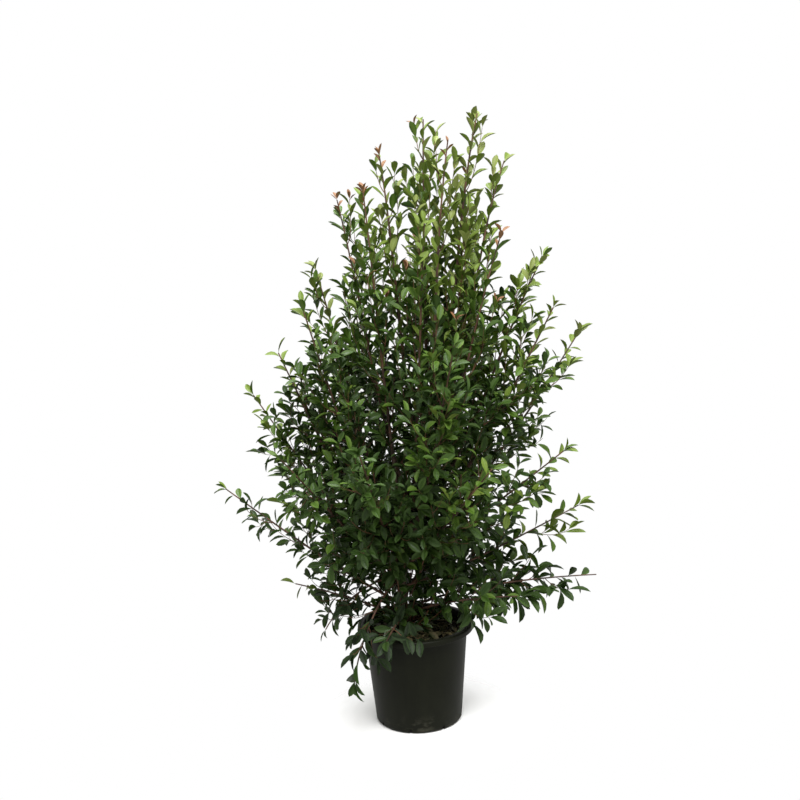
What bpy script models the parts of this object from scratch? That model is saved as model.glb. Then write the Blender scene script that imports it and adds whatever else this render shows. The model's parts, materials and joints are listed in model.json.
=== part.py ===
"""Potted photinia: an evergreen shrub of many rising shoots in a round nursery pot.

A short leaning trunk stands on the soil. Boughs leave it in three tiers and each ends
where its mass of foliage begins. Lower masses leave the trunk directly, and the lowest
ones spread over the rim. A mass is one stem with side twigs and leaves fused to it.
The origin is the middle of the flat underside of the pot, and +Z is up.
"""

import math
import random
from collections import namedtuple

import bmesh
import bpy
from mathutils import Matrix, Vector
from mathutils.bvhtree import BVHTree
from mathutils.kdtree import KDTree

# Clearance between neighbouring solids, in metres like every length here.
GAP = 0.0003
MERGE = 0.00001

# Nursery pot of about 25 litres.
POT_HEIGHT = 0.330
POT_RIM_RADIUS = 0.1925
POT_MOUTH_RADIUS = 0.1715
POT_BODY_RADIUS = 0.1705
POT_FOOT_RADIUS = 0.1435
POT_WALL = 0.0025
POT_LIP_DROP = 0.018
POT_LIP_ROUND = 0.006
POT_CORNER = 0.012
POT_SEGMENTS = 32
NOTCH_COUNT = 8
NOTCH_WIDTH = 0.0085
NOTCH_HEIGHT = 0.016
NOTCH_DEPTH = 0.024
NOTCH_PHASE = math.radians(-102.5)

# Soil inside the pot, nearly level, with a flat patch under the trunk.
SOIL_LEVEL = 0.300
SOIL_EDGE_DROP = 0.005
SOIL_FLAT_RADIUS = 0.085

# Trunk: heights above the floor, sideways lean at each height, and radius.
TRUNK_STATIONS = (
    # height, lean x, lean y, radius
    (SOIL_LEVEL + GAP, -0.030, 0.000, 0.0290),
    (0.312, -0.030, 0.000, 0.0220),
    (0.335, -0.033, -0.001, 0.0180),
    (0.400, -0.039, -0.004, 0.0160),
    (0.480, -0.041, -0.006, 0.0148),
    (0.570, -0.028, -0.005, 0.0135),
    (0.670, -0.002, -0.001, 0.0120),
    (0.780, 0.031, 0.003, 0.0105),
    (0.890, 0.058, 0.006, 0.0088),
)
TRUNK_SIDES = 12

# One tier of shoots. foot: lowest and highest start on the trunk. foot_lean, tip_lean:
# lean from upright at each end, as a multiple of the shoot's own lean. bough: share of
# the shoot that is bare bough. thick: radii at the foot and the tip. twigs: how many
# side twigs. span: share of the mass's stem that bears them. reach: longest twig.
# spread: degrees between a twig and its stem. leaf: length and spacing of its leaves.
Tier = namedtuple(
    "Tier", "name foot foot_lean tip_lean bough thick twigs span reach spread leaf shoots")

# Each shoot: bearing in degrees from +X, reach of its tip from the pot's axis, height.
TIERS = (
    Tier("leader", (0.700, 0.876), 2.4, 1.35, 0.32, (0.0078, 0.0019),
         4, (0.03, 0.62), 0.34, 13, (0.100, 0.080), (
        (-31, 0.192, 1.908),
        (13, 0.365, 1.845),
        (-11, 0.266, 1.985),
        (68, 0.216, 1.825),
        (180, 0.053, 1.874),
        (23, 0.101, 1.983),
    )),
    Tier("upper", (0.580, 0.700), 1.8, 1.05, 0.33, (0.0070, 0.0019),
         4, (0.03, 0.66), 0.31, 18, (0.111, 0.076), (
        (154, 0.316, 1.524),
        (-131, 0.160, 1.762),
        (-30, 0.362, 1.619),
        (45, 0.371, 1.620),
        (-73, 0.262, 1.661),
        (2, 0.465, 1.536),
        (158, 0.213, 1.747),
    )),
    Tier("middle", (0.490, 0.610), 1.5, 0.85, 0.30, (0.0066, 0.0019),
         4, (0.03, 0.72), 0.25, 30, (0.128, 0.067), (
        (113, 0.423, 1.380),
        (177, 0.413, 1.268),
        (-150, 0.356, 1.425),
        (-69, 0.411, 1.310),
        (11, 0.603, 1.279),
        (-14, 0.491, 1.386),
        (54, 0.483, 1.360),
    )),
    Tier("lower", (0.395, 0.530), 1.15, 0.95, 0.0, (0.0052, 0.0019),
         4, (0.16, 0.80), 0.22, 40, (0.132, 0.063), (
        (-178, 0.616, 0.832),
        (48, 0.510, 1.000),
        (130, 0.520, 0.980),
        (169, 0.525, 1.121),
        (10, 0.596, 0.688),
        (90, 0.490, 0.930),
        (-143, 0.496, 0.980),
        (-110, 0.430, 1.000),
        (-58, 0.470, 0.940),
        (-13, 0.521, 0.927),
    )),
    Tier("skirt", (0.335, 0.375), 0.80, 1.10, 0.0, (0.0044, 0.0019),
         4, (0.26, 0.82), 0.17, 42, (0.126, 0.057), (
        (180, 0.415, 0.486),
        (-106, 0.350, 0.385),
        (-34, 0.410, 0.482),
        (85, 0.440, 0.490),
        (0, 0.629, 0.466),
    )),
    Tier("trailing", (0.458, 0.470), 0.30, 1.36, 0.0, (0.0040, 0.0019),
         3, (0.50, 0.85), 0.12, 42, (0.110, 0.046), (
        (-130, 0.312, 0.204),
        (-162, 0.318, 0.329),
    )),
)
FOOT_PULL = 0.26
TIP_PULL = 0.34
PATH_STEPS = 64
BOUGH_SIDES = 6
BOUGH_KNOTS = 6
STEM_KNOTS = 6
TWIG_SIDES = 3
TWIG_RADIUS = 0.0026
TWIG_TIP_RADIUS = 0.0018
TWIG_TAPER = 0.45
TWIG_RISE = 0.20
TWIG_STEPS = 8
TWIG_CUTS = (1.0, 0.8, 0.6)
TWIG_SHORTEST = 0.07
TWIG_HEADROOM = 0.8
TWIG_LENGTH_SPREAD = 0.10
TWIG_TURN_SPREAD = 0.25
GOLDEN_ANGLE = math.radians(137.508)

# Leaves: each stands for several real ones, so it is larger than life.
LEAF_TIP_LENGTH = 0.094
LEAF_WIDTH = 0.50
LEAF_THICKNESS = 0.026
LEAF_WIDEST = 0.56
LEAF_KEEL = 0.50
LEAF_FOLD = 0.05
LEAF_TRIES = ((0.0, 1.0), (1.0, 1.0), (2.0, 0.9), (3.0, 0.9), (4.0, 0.8))
LEAF_OPEN = math.radians(50.0)
LEAF_TIP_OPEN = math.radians(14.0)
LEAF_SAG = 0.25
LEAF_ROLL = 0.9
LEAF_FACE_RISE = 0.6
LEAF_TURN_SPREAD = 0.2
LEAF_SINK = 0.4 * TWIG_TIP_RADIUS
LEAF_CLEARANCE = 1.06
LEAF_SEED = 1000
BARE_ROOT = 0.030
FLOOR_CLEARANCE = 0.030
POT_CLEARANCE = 0.006

# Colours as linear RGB, then roughness.
FINISHES = {
    "pot": ((0.020, 0.021, 0.017), 0.55),
    "soil": ((0.030, 0.020, 0.013), 0.95),
    "bark": ((0.130, 0.085, 0.055), 0.85),
    "leader": ((0.120, 0.210, 0.030), 0.45),
    "upper": ((0.100, 0.190, 0.030), 0.45),
    "middle": ((0.065, 0.140, 0.025), 0.45),
    "lower": ((0.040, 0.100, 0.020), 0.45),
    "skirt": ((0.030, 0.080, 0.018), 0.45),
    "trailing": ((0.030, 0.080, 0.018), 0.45),
}

UP = Vector((0.0, 0.0, 1.0))


# ---------------------------------------------------------------- scene and materials

def clear_scene():
    for item in list(bpy.data.objects):
        bpy.data.objects.remove(item, do_unlink=True)


def new_collection(name):
    group = bpy.data.collections.new(name)
    bpy.context.scene.collection.children.link(group)
    return group


def finish(name):
    """Principled material of one kind of part, made once."""
    material = bpy.data.materials.get(name)
    if material is None:
        colour, roughness = FINISHES[name]
        material = bpy.data.materials.new(name)
        material.use_nodes = True
        shader = material.node_tree.nodes["Principled BSDF"]
        shader.inputs["Base Color"].default_value = (*colour, 1.0)
        shader.inputs["Roughness"].default_value = roughness
        shader.inputs["Metallic"].default_value = 0.0
        material.diffuse_color = (*colour, 1.0)
    return material


def add_object(name, mesh, group, material=None):
    item = bpy.data.objects.new(name, mesh)
    group.objects.link(item)
    if material is not None:
        mesh.materials.clear()
        mesh.materials.append(finish(material))
    return item


def evaluated_mesh(item):
    """The item's mesh with its modifiers applied."""
    bpy.context.view_layer.update()
    graph = bpy.context.evaluated_depsgraph_get()
    return bpy.data.meshes.new_from_object(item.evaluated_get(graph))


def edit_mesh(mesh, change):
    work = bmesh.new()
    work.from_mesh(mesh)
    change(work)
    work.to_mesh(mesh)
    work.free()


# ---------------------------------------------------------------- pot and soil

def arc(centre, radius, start, end, steps):
    """Points of an arc in the profile plane, angles in degrees."""
    points = []
    for step in range(steps + 1):
        angle = math.radians(start + (end - start) * step / steps)
        x = centre[0] + radius * math.cos(angle)
        points.append((x, centre[1] + radius * math.sin(angle)))
    return points


def pot_profile():
    """From the middle of the floor up the inside, over the lip and down the outside."""
    corner = (POT_FOOT_RADIUS - POT_CORNER, POT_CORNER)
    inner = POT_CORNER - POT_WALL
    lip = (POT_RIM_RADIUS - POT_LIP_ROUND, POT_HEIGHT - POT_LIP_ROUND)
    lip_foot = POT_HEIGHT - POT_LIP_DROP
    points = [(0.0, POT_WALL)]
    points += arc(corner, inner, -90, 0, 2)
    points += [(POT_BODY_RADIUS - POT_WALL, lip_foot)]
    points += [(POT_MOUTH_RADIUS, POT_HEIGHT - POT_WALL)]
    points += [(POT_MOUTH_RADIUS + POT_WALL, POT_HEIGHT)]
    points += arc(lip, POT_LIP_ROUND, 90, 0, 2)
    points += [(POT_RIM_RADIUS, lip_foot + POT_WALL)]
    points += [(POT_RIM_RADIUS - POT_WALL, lip_foot)]
    points += [(POT_BODY_RADIUS, lip_foot - POT_WALL)]
    points += arc(corner, POT_CORNER, 0, -90, 3)
    points += [(0.0, 0.0)]
    return points


def inner_radius(height):
    """Radius of the pot's inner wall at a height."""
    low = POT_CORNER
    high = POT_HEIGHT - POT_LIP_DROP
    share = (height - low) / (high - low)
    outer = POT_FOOT_RADIUS + (POT_BODY_RADIUS - POT_FOOT_RADIUS) * share
    return outer - POT_WALL


def soil_profile():
    """From the middle of the top out to the wall, down the inside and along the floor."""
    level = SOIL_LEVEL - SOIL_EDGE_DROP
    corner = (POT_FOOT_RADIUS - POT_CORNER, POT_CORNER)
    points = [(0.0, SOIL_LEVEL), (SOIL_FLAT_RADIUS, SOIL_LEVEL)]
    points += [(inner_radius(level) - 2 * GAP, level)]
    points += arc(corner, POT_CORNER - POT_WALL - 2 * GAP, 0, -90, 2)
    points += [(0.0, POT_WALL + 2 * GAP)]
    return points


def turned(name, profile, group, material):
    """Body turned round Z from a profile in the XZ plane."""
    mesh = bpy.data.meshes.new(name)
    vertices = [(x, 0.0, z) for x, z in profile]
    edges = [(index, index + 1) for index in range(len(profile) - 1)]
    mesh.from_pydata(vertices, edges, [])
    item = add_object(name, mesh, group, material)
    screw = item.modifiers.new("turn", "SCREW")
    screw.steps = POT_SEGMENTS
    screw.render_steps = POT_SEGMENTS
    screw.use_merge_vertices = True
    screw.merge_threshold = MERGE
    screw.use_smooth_shade = True
    return item


def add_notches(pot, group):
    """Drain notches through the lower corner of the wall, spaced evenly round it."""
    for number in range(NOTCH_COUNT):
        angle = NOTCH_PHASE + number * math.tau / NOTCH_COUNT
        work = bmesh.new()
        bmesh.ops.create_cube(work, size=1.0)
        size = Matrix.Diagonal((NOTCH_DEPTH, NOTCH_WIDTH, 2 * NOTCH_HEIGHT, 1.0))
        bmesh.ops.transform(work, matrix=size, verts=work.verts)
        mesh = bpy.data.meshes.new("notch")
        work.to_mesh(mesh)
        work.free()
        cutter = add_object("notch_cutter_%d" % (number + 1), mesh, group)
        cutter.location = (
            POT_FOOT_RADIUS * math.cos(angle),
            POT_FOOT_RADIUS * math.sin(angle),
            0.0,
        )
        cutter.rotation_euler = (0.0, 0.0, angle)
        cutter.hide_render = True
        cutter.display_type = "WIRE"
        cut = pot.modifiers.new("notch", "BOOLEAN")
        cut.operation = "DIFFERENCE"
        cut.object = cutter


# ---------------------------------------------------------------- paths

class Path:
    """A smooth line through space, read by distance along it."""

    def __init__(self, points):
        self.points = points
        self.marks = [0.0]
        for before, after in zip(points, points[1:]):
            self.marks.append(self.marks[-1] + (after - before).length)
        self.length = self.marks[-1]

    def segment(self, distance):
        distance = min(max(distance, 0.0), self.length)
        index = 0
        while index < len(self.marks) - 2 and self.marks[index + 1] < distance:
            index += 1
        return index, distance

    def point(self, distance):
        index, distance = self.segment(distance)
        span = self.marks[index + 1] - self.marks[index]
        share = (distance - self.marks[index]) / span
        return self.points[index].lerp(self.points[index + 1], share)

    def heading(self, distance):
        index, distance = self.segment(distance)
        return (self.points[index + 1] - self.points[index]).normalized()

    def knots(self, start, end, count):
        return [self.point(start + (end - start) * k / (count - 1)) for k in range(count)]


def bezier(a, b, c, d, steps):
    points = []
    for step in range(steps + 1):
        t = step / steps
        s = 1.0 - t
        points.append(a * s**3 + b * (3 * s * s * t) + c * (3 * s * t * t) + d * t**3)
    return Path(points)


def trunk_axis(height):
    """Point of the trunk's centre line at a height."""
    lower = TRUNK_STATIONS[0]
    for upper in TRUNK_STATIONS[1:]:
        if height <= upper[0]:
            share = (height - lower[0]) / (upper[0] - lower[0])
            x = lower[1] + (upper[1] - lower[1]) * share
            y = lower[2] + (upper[2] - lower[2]) * share
            return Vector((x, y, height))
        lower = upper
    return Vector((lower[1], lower[2], height))


def leaning(side, lean):
    """Unit vector that leans from upright towards a side."""
    return side * math.sin(lean) + UP * math.cos(lean)


class Shoot:
    """One shoot: its line from the trunk to its tip, its bough and its mass."""

    def __init__(self, tier, number, seed):
        bearing, reach, top = tier.shoots[number]
        spread = max(len(tier.shoots) - 1, 1)
        foot = tier.foot[0] + (tier.foot[1] - tier.foot[0]) * number / spread
        angle = math.radians(bearing)
        start = trunk_axis(foot)
        tip = Vector((reach * math.cos(angle), reach * math.sin(angle), top))
        chord = tip - start
        side = Vector((chord.x, chord.y, 0.0)).normalized()
        lean = math.atan2(math.hypot(chord.x, chord.y), chord.z)
        out = leaning(side, lean * tier.foot_lean) * chord.length * FOOT_PULL
        back = leaning(side, lean * tier.tip_lean) * chord.length * TIP_PULL
        self.tier = tier
        self.seed = seed
        self.number = number + 1
        self.path = bezier(start, start + out, tip - back, tip, PATH_STEPS)
        self.fork = self.path.length * tier.bough
        self.end = self.path.length - LEAF_TIP_LENGTH * math.cos(LEAF_TIP_OPEN)
        start = self.fork + GAP if self.fork > 0.0 else 0.0
        self.stem = Path(self.path.knots(start, self.end, STEM_KNOTS))

    def name(self, kind):
        return "%s_%s_%d" % (self.tier.name, kind, self.number)

    def radius(self, distance):
        share = min(distance / self.end, 1.0)
        return self.tier.thick[0] + (self.tier.thick[1] - self.tier.thick[0]) * share


def all_shoots():
    shoots = []
    for tier in TIERS:
        for number in range(len(tier.shoots)):
            shoots.append(Shoot(tier, number, len(shoots)))
    return shoots


# ---------------------------------------------------------------- limbs

SECTIONS = {}


def section(sides, guides):
    """Closed regular outline of unit radius that limbs are swept with."""
    if sides not in SECTIONS:
        curve = bpy.data.curves.new("section_%d" % sides, "CURVE")
        curve.dimensions = "2D"
        outline = curve.splines.new("POLY")
        outline.points.add(sides - 1)
        for index, knot in enumerate(outline.points):
            angle = index * math.tau / sides
            knot.co = (math.cos(angle), math.sin(angle), 0.0, 1.0)
        outline.use_cyclic_u = True
        SECTIONS[sides] = bpy.data.objects.new("section_%d" % sides, curve)
        SECTIONS[sides].hide_render = True
        SECTIONS[sides].display_type = "WIRE"
        guides.objects.link(SECTIONS[sides])
    return SECTIONS[sides]


def limb_mesh(name, points, radii, sides, guides):
    """Tapering limb with flat ends, swept along a poly spline."""
    curve = bpy.data.curves.new(name, "CURVE")
    curve.dimensions = "3D"
    curve.bevel_mode = "OBJECT"
    curve.bevel_object = section(sides, guides)
    curve.use_fill_caps = True
    spline = curve.splines.new("POLY")
    spline.points.add(len(points) - 1)
    for knot, point, radius in zip(spline.points, points, radii):
        knot.co = (*point, 1.0)
        knot.radius = radius
    holder = bpy.data.objects.new(name, curve)
    guides.objects.link(holder)
    mesh = evaluated_mesh(holder)
    bpy.data.objects.remove(holder)
    bpy.data.curves.remove(curve)

    def close_caps(work):
        bmesh.ops.remove_doubles(work, verts=work.verts, dist=MERGE)
        bmesh.ops.recalc_face_normals(work, faces=work.faces)

    edit_mesh(mesh, close_caps)
    return mesh


def trunk_mesh(guides, growth=0.0):
    """The trunk, or with growth a cutter that is larger all round."""
    points = [Vector((x, y, height)) for height, x, y, _ in TRUNK_STATIONS]
    radii = [radius + growth for _, _, _, radius in TRUNK_STATIONS]
    points[0].z -= growth
    points[-1].z += growth
    return limb_mesh("trunk", points, radii, TRUNK_SIDES, guides)


def cut_by_trunk(mesh, cutter, group):
    """Trim the part of a limb that lies inside the trunk, and return the rest."""
    item = add_object("trimmed", mesh, group)
    cut = item.modifiers.new("foot", "BOOLEAN")
    cut.operation = "DIFFERENCE"
    cut.object = cutter
    trimmed = evaluated_mesh(item)
    bpy.data.objects.remove(item)
    return trimmed


def bough_mesh(shoot, guides):
    points = shoot.path.knots(0.0, shoot.fork, BOUGH_KNOTS)
    radii = [shoot.radius(shoot.fork * k / (BOUGH_KNOTS - 1)) for k in range(BOUGH_KNOTS)]
    return limb_mesh(shoot.name("bough"), points, radii, BOUGH_SIDES, guides)


def stem_mesh(shoot, guides):
    """The mass's own stem, from just past its bough, or from inside the trunk."""
    start = shoot.end - shoot.stem.length
    radii = [shoot.radius(start + mark) for mark in shoot.stem.marks]
    return limb_mesh(shoot.name("stem"), shoot.stem.points, radii, TWIG_SIDES, guides)


# ---------------------------------------------------------------- growth rule

Leaf = namedtuple("Leaf", "base along face length parent")


def turned_about(axis, angle):
    """Unit vector square to an axis, at an angle round it."""
    side = axis.cross(UP)
    if side.length < 0.1:
        side = axis.cross(Vector((1.0, 0.0, 0.0)))
    side.normalize()
    return Matrix.Rotation(angle, 3, axis) @ side


def twig_path(base, heading, turn, length, spread):
    """A straight twig that leaves its stem at an angle, lifted a little upwards."""
    side = turned_about(heading, turn)
    along = heading * math.cos(spread) + side * math.sin(spread)
    along = (along + UP * TWIG_RISE).normalized()
    return Path([base + along * length * k / TWIG_STEPS for k in range(TWIG_STEPS + 1)])


def candidate_twigs(shoot):
    """Side twigs of a shoot, longest low down, by the golden angle round the stem."""
    rng = random.Random(shoot.seed)
    turn = rng.uniform(0.0, math.tau)
    tier = shoot.tier
    for number in range(tier.twigs):
        share = number / max(tier.twigs - 1, 1)
        along = tier.span[0] + (tier.span[1] - tier.span[0]) * share
        distance = shoot.stem.length * along
        room = TWIG_HEADROOM * (shoot.path.length - shoot.fork - distance)
        length = min(tier.reach * (1.0 - TWIG_TAPER * share), room)
        length *= 1.0 + rng.uniform(-TWIG_LENGTH_SPREAD, TWIG_LENGTH_SPREAD)
        turn += GOLDEN_ANGLE + rng.uniform(-TWIG_TURN_SPREAD, TWIG_TURN_SPREAD)
        base = shoot.stem.point(distance)
        heading = shoot.stem.heading(distance)
        spread = math.radians(tier.spread)
        yield [twig_path(base, heading, turn, length * cut, spread) for cut in TWIG_CUTS]


def leaf_frame(heading, turn, opening, roll):
    """Direction and upper face of a leaf that stands off its twig, rolled on its rib."""
    side = turned_about(heading, turn)
    along = heading * math.cos(opening) + side * math.sin(opening)
    along = (along - UP * LEAF_SAG * math.sin(opening)).normalized()
    face = heading + UP * LEAF_FACE_RISE
    face = (face - along * face.dot(along)).normalized()
    return along, Matrix.Rotation(roll, 3, along) @ face


def leaves_along(path, start, end, leaf, parent, rng):
    """Leaves by the golden angle along a path, and two at its tip, each with its tries."""
    turn = rng.uniform(0.0, math.tau)
    count = int((end - start) / leaf[1])
    for number in range(count):
        distance = start + (number + 0.5) * (end - start) / count
        turn += GOLDEN_ANGLE + rng.uniform(-LEAF_TURN_SPREAD, LEAF_TURN_SPREAD)
        roll = rng.uniform(-LEAF_ROLL, LEAF_ROLL)
        heading = path.heading(distance)
        tries = []
        for turns, scale in LEAF_TRIES:
            frame = leaf_frame(heading, turn + turns * GOLDEN_ANGLE, LEAF_OPEN, roll)
            tries.append(Leaf(path.point(distance), *frame, leaf[0] * scale, parent))
        yield tries
    tip = end - LEAF_THICKNESS * LEAF_TIP_LENGTH
    for opposite in (0.0, math.pi):
        frame = leaf_frame(path.heading(tip), turn + opposite, LEAF_TIP_OPEN, 0.0)
        yield [Leaf(path.point(tip), *frame, LEAF_TIP_LENGTH, parent)]


def leaf_shape():
    """Unit leaf along +X: two faces folded on the rib, over four that meet at a keel."""
    work = bmesh.new()
    bmesh.ops.create_cone(
        work, cap_ends=True, segments=4, radius1=1.0, radius2=0.0, depth=1.0)
    keel = max(work.verts, key=lambda vertex: vertex.co.z)
    keel.co = (LEAF_KEEL, 0.0, LEAF_THICKNESS)
    ring = [vertex for vertex in work.verts if vertex is not keel]
    root = min(ring, key=lambda vertex: vertex.co.x)
    tip = max(ring, key=lambda vertex: vertex.co.x)
    for vertex in ring:
        if vertex in (root, tip):
            vertex.co = (0.0 if vertex is root else 1.0, 0.0, 0.0)
        else:
            side = math.copysign(0.5 * LEAF_WIDTH, vertex.co.y)
            vertex.co = (LEAF_WIDEST, side, -LEAF_FOLD)
    bmesh.ops.connect_vert_pair(work, verts=[root, tip])
    bmesh.ops.rotate(work, verts=work.verts, matrix=Matrix.Rotation(math.pi, 3, "X"))
    bmesh.ops.recalc_face_normals(work, faces=work.faces)
    mesh = bpy.data.meshes.new("leaf")
    work.to_mesh(mesh)
    work.free()
    return mesh


def leaf_matrix(leaf, scale=1.0):
    """Places a unit leaf on its twig, with its root sunk past the twig's centre line."""
    side = leaf.face.cross(leaf.along)
    turn = Matrix((leaf.along, side, leaf.face)).transposed().to_4x4()
    base = leaf.base - leaf.along * LEAF_SINK
    return Matrix.Translation(base) @ turn @ Matrix.Scale(leaf.length * scale, 4)


# ---------------------------------------------------------------- own space

class Space:
    """Keeps each mass nearer to its own stem than to any other, and clear of solids."""

    def __init__(self, shoots):
        self.solids = []
        total = (PATH_STEPS + 1) * len(shoots)
        self.tree = KDTree(total)
        self.owners = []
        for shoot in shoots:
            for point in shoot.path.knots(shoot.fork, shoot.path.length, PATH_STEPS + 1):
                self.tree.insert(point, len(self.owners))
                self.owners.append(shoot.seed)
        self.tree.balance()

    def holds(self, points, owner):
        for point in points:
            _, index, _ = self.tree.find(point)
            if self.owners[index] != owner or not clear_of_pot(point):
                return False
        return True

    def add(self, mesh, owner=None, part=None):
        points = [vertex.co.copy() for vertex in mesh.vertices]
        faces = [tuple(face.vertices) for face in mesh.polygons]
        middle = sum(points, Vector()) / len(points)
        size = max((point - middle).length for point in points)
        tree = BVHTree.FromPolygons(points, faces)
        self.solids.append((middle, size, tree, owner, part))

    def touches(self, mesh, owner=None, parent=None):
        """True if a mesh crosses a solid other than its own parent."""
        points = [vertex.co.copy() for vertex in mesh.vertices]
        faces = [tuple(face.vertices) for face in mesh.polygons]
        middle = sum(points, Vector()) / len(points)
        size = max((point - middle).length for point in points)
        tree = BVHTree.FromPolygons(points, faces)
        for other_middle, other_size, other_tree, other_owner, part in self.solids:
            if other_owner == owner and part == parent:
                continue
            if (other_middle - middle).length > size + other_size:
                continue
            if tree.overlap(other_tree):
                return True
        return False


def clear_of_pot(point):
    """True outside the pot and above both its soil and the floor."""
    radius = math.hypot(point.x, point.y)
    if point.z < FLOOR_CLEARANCE:
        return False
    if radius > POT_RIM_RADIUS + POT_CLEARANCE or point.z > POT_HEIGHT + POT_CLEARANCE:
        return True
    return point.z > SOIL_LEVEL + POT_CLEARANCE and radius < POT_MOUTH_RADIUS - POT_CLEARANCE


def twig_mesh(shoot, path, guides):
    ends = [path.points[0], path.points[-1]]
    radii = [TWIG_RADIUS, TWIG_TIP_RADIUS]
    return limb_mesh(shoot.name("twig"), ends, radii, TWIG_SIDES, guides)


def grow_twigs(shoot, space, guides):
    """Twigs that stay in the shoot's own space, each cut shorter where it must be."""
    twigs = []
    for choices in candidate_twigs(shoot):
        for path in choices:
            outer = path.points[TWIG_STEPS // 4:]
            if path.length < TWIG_SHORTEST or not space.holds(outer, shoot.seed):
                continue
            mesh = twig_mesh(shoot, path, guides)
            if space.touches(mesh, shoot.seed, "stem"):
                continue
            space.add(mesh, shoot.seed, len(twigs))
            twigs.append((path, mesh))
            break
    return twigs


def grow_leaves(shoot, twigs, leaf_unit, space):
    """Leaves on the stem and the twigs that stay in the shoot's own space."""
    rng = random.Random(LEAF_SEED + shoot.seed)
    bare = shoot.stem.length * shoot.tier.span[0]
    leaf = shoot.tier.leaf
    places = list(leaves_along(shoot.stem, bare, shoot.stem.length, leaf, "stem", rng))
    for number, (path, _) in enumerate(twigs):
        places += leaves_along(path, BARE_ROOT, path.length, leaf, number, rng)
    kept = []
    for number, tries in enumerate(places):
        for trial in tries:
            test = leaf_unit.copy()
            test.transform(leaf_matrix(trial, LEAF_CLEARANCE))
            fits = space.holds([vertex.co for vertex in test.vertices], shoot.seed)
            fits = fits and not space.touches(test, shoot.seed, trial.parent)
            bpy.data.meshes.remove(test)
            if fits:
                mesh = leaf_unit.copy()
                mesh.transform(leaf_matrix(trial))
                space.add(mesh, shoot.seed, "leaf %d" % number)
                kept.append(mesh)
                break
    return kept


# ---------------------------------------------------------------- fused masses

def keep_main_body(work):
    """Drop every loose scrap or sealed hollow, and leave the largest closed body."""
    left = set(work.verts)
    bodies = []
    while left:
        seed = left.pop()
        body = {seed}
        edge = [seed]
        while edge:
            vertex = edge.pop()
            for link in vertex.link_edges:
                other = link.other_vert(vertex)
                if other not in body:
                    body.add(other)
                    edge.append(other)
        left -= body
        bodies.append(body)
    bodies.sort(key=len)
    for body in bodies[:-1]:
        bmesh.ops.delete(work, geom=list(body), context="VERTS")


def fuse(name, stem, pieces, group, material):
    """One solid of a stem and everything that grows on it."""
    parts = new_collection(name + "_pieces")
    for piece in pieces:
        add_object("piece", piece, parts)
    base = add_object(name + "_stem", stem, group)
    join = base.modifiers.new("join", "BOOLEAN")
    join.operation = "UNION"
    join.operand_type = "COLLECTION"
    join.collection = parts
    mesh = evaluated_mesh(base)
    for item in [base] + list(parts.objects):
        bpy.data.objects.remove(item)
    bpy.data.collections.remove(parts)
    edit_mesh(mesh, keep_main_body)
    return add_object(name, mesh, group, material)


# ---------------------------------------------------------------- the whole plant

def build_pot(parts, cutters):
    pot = turned("pot", pot_profile(), parts, "pot")
    add_notches(pot, cutters)
    soil = turned("soil", soil_profile(), parts, "soil")
    return pot, soil


def build_limbs(shoots, parts, guides):
    """The trunk and the boughs, and the stems of the masses."""
    trunk = add_object("trunk", trunk_mesh(guides), parts, "bark")
    trunk.data.shade_smooth()
    cutter = add_object("trunk_cutter", trunk_mesh(guides, GAP), guides)
    cutter.hide_render = True
    cutter.display_type = "WIRE"
    boughs = []
    stems = {}
    for shoot in shoots:
        stem = stem_mesh(shoot, guides)
        if shoot.fork > 0.0:
            mesh = cut_by_trunk(bough_mesh(shoot, guides), cutter, guides)
            mesh.shade_smooth()
            boughs.append(add_object(shoot.name("bough"), mesh, parts, "bark"))
        else:
            stem = cut_by_trunk(stem, cutter, guides)
        stems[shoot.seed] = stem
    return trunk, boughs, stems


def build_foliage(shoots, stems, space, parts, guides):
    for shoot in shoots:
        space.add(stems[shoot.seed], shoot.seed, "stem")
    twigs = {shoot.seed: grow_twigs(shoot, space, guides) for shoot in shoots}
    leaf_unit = leaf_shape()
    for shoot in shoots:
        leaves = grow_leaves(shoot, twigs[shoot.seed], leaf_unit, space)
        pieces = [mesh for _, mesh in twigs[shoot.seed]] + leaves
        fuse(shoot.name("foliage"), stems[shoot.seed], pieces, parts, shoot.tier.name)


def main():
    clear_scene()
    parts = new_collection("potted_photinia")
    cutters = new_collection("cutters")
    guides = new_collection("guides")
    shoots = all_shoots()
    pot, soil = build_pot(parts, cutters)
    trunk, boughs, stems = build_limbs(shoots, parts, guides)
    space = Space(shoots)
    for solid in [pot, soil, trunk] + boughs:
        space.add(evaluated_mesh(solid))
    build_foliage(shoots, stems, space, parts, guides)


main()
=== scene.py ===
# %% [markdown]
# # Potted photinia
#
# This lesson dresses the solids of an evergreen shrub in a nursery pot. The solids are
# loaded first and stay where they are. Each is then replaced by a finer piece: a turned
# pot, crumbly soil, limbs with bark, thin twigs and some thousands of glossy leaves.
# Every length is in metres, +Z is up, and the pot stands on the floor at the origin.

# %% Load the solids
import json
import math
import random
from collections import namedtuple

import bmesh
import bpy
import numpy as np
from mathutils import Matrix, Vector, noise
from mathutils.kdtree import KDTree

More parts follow.
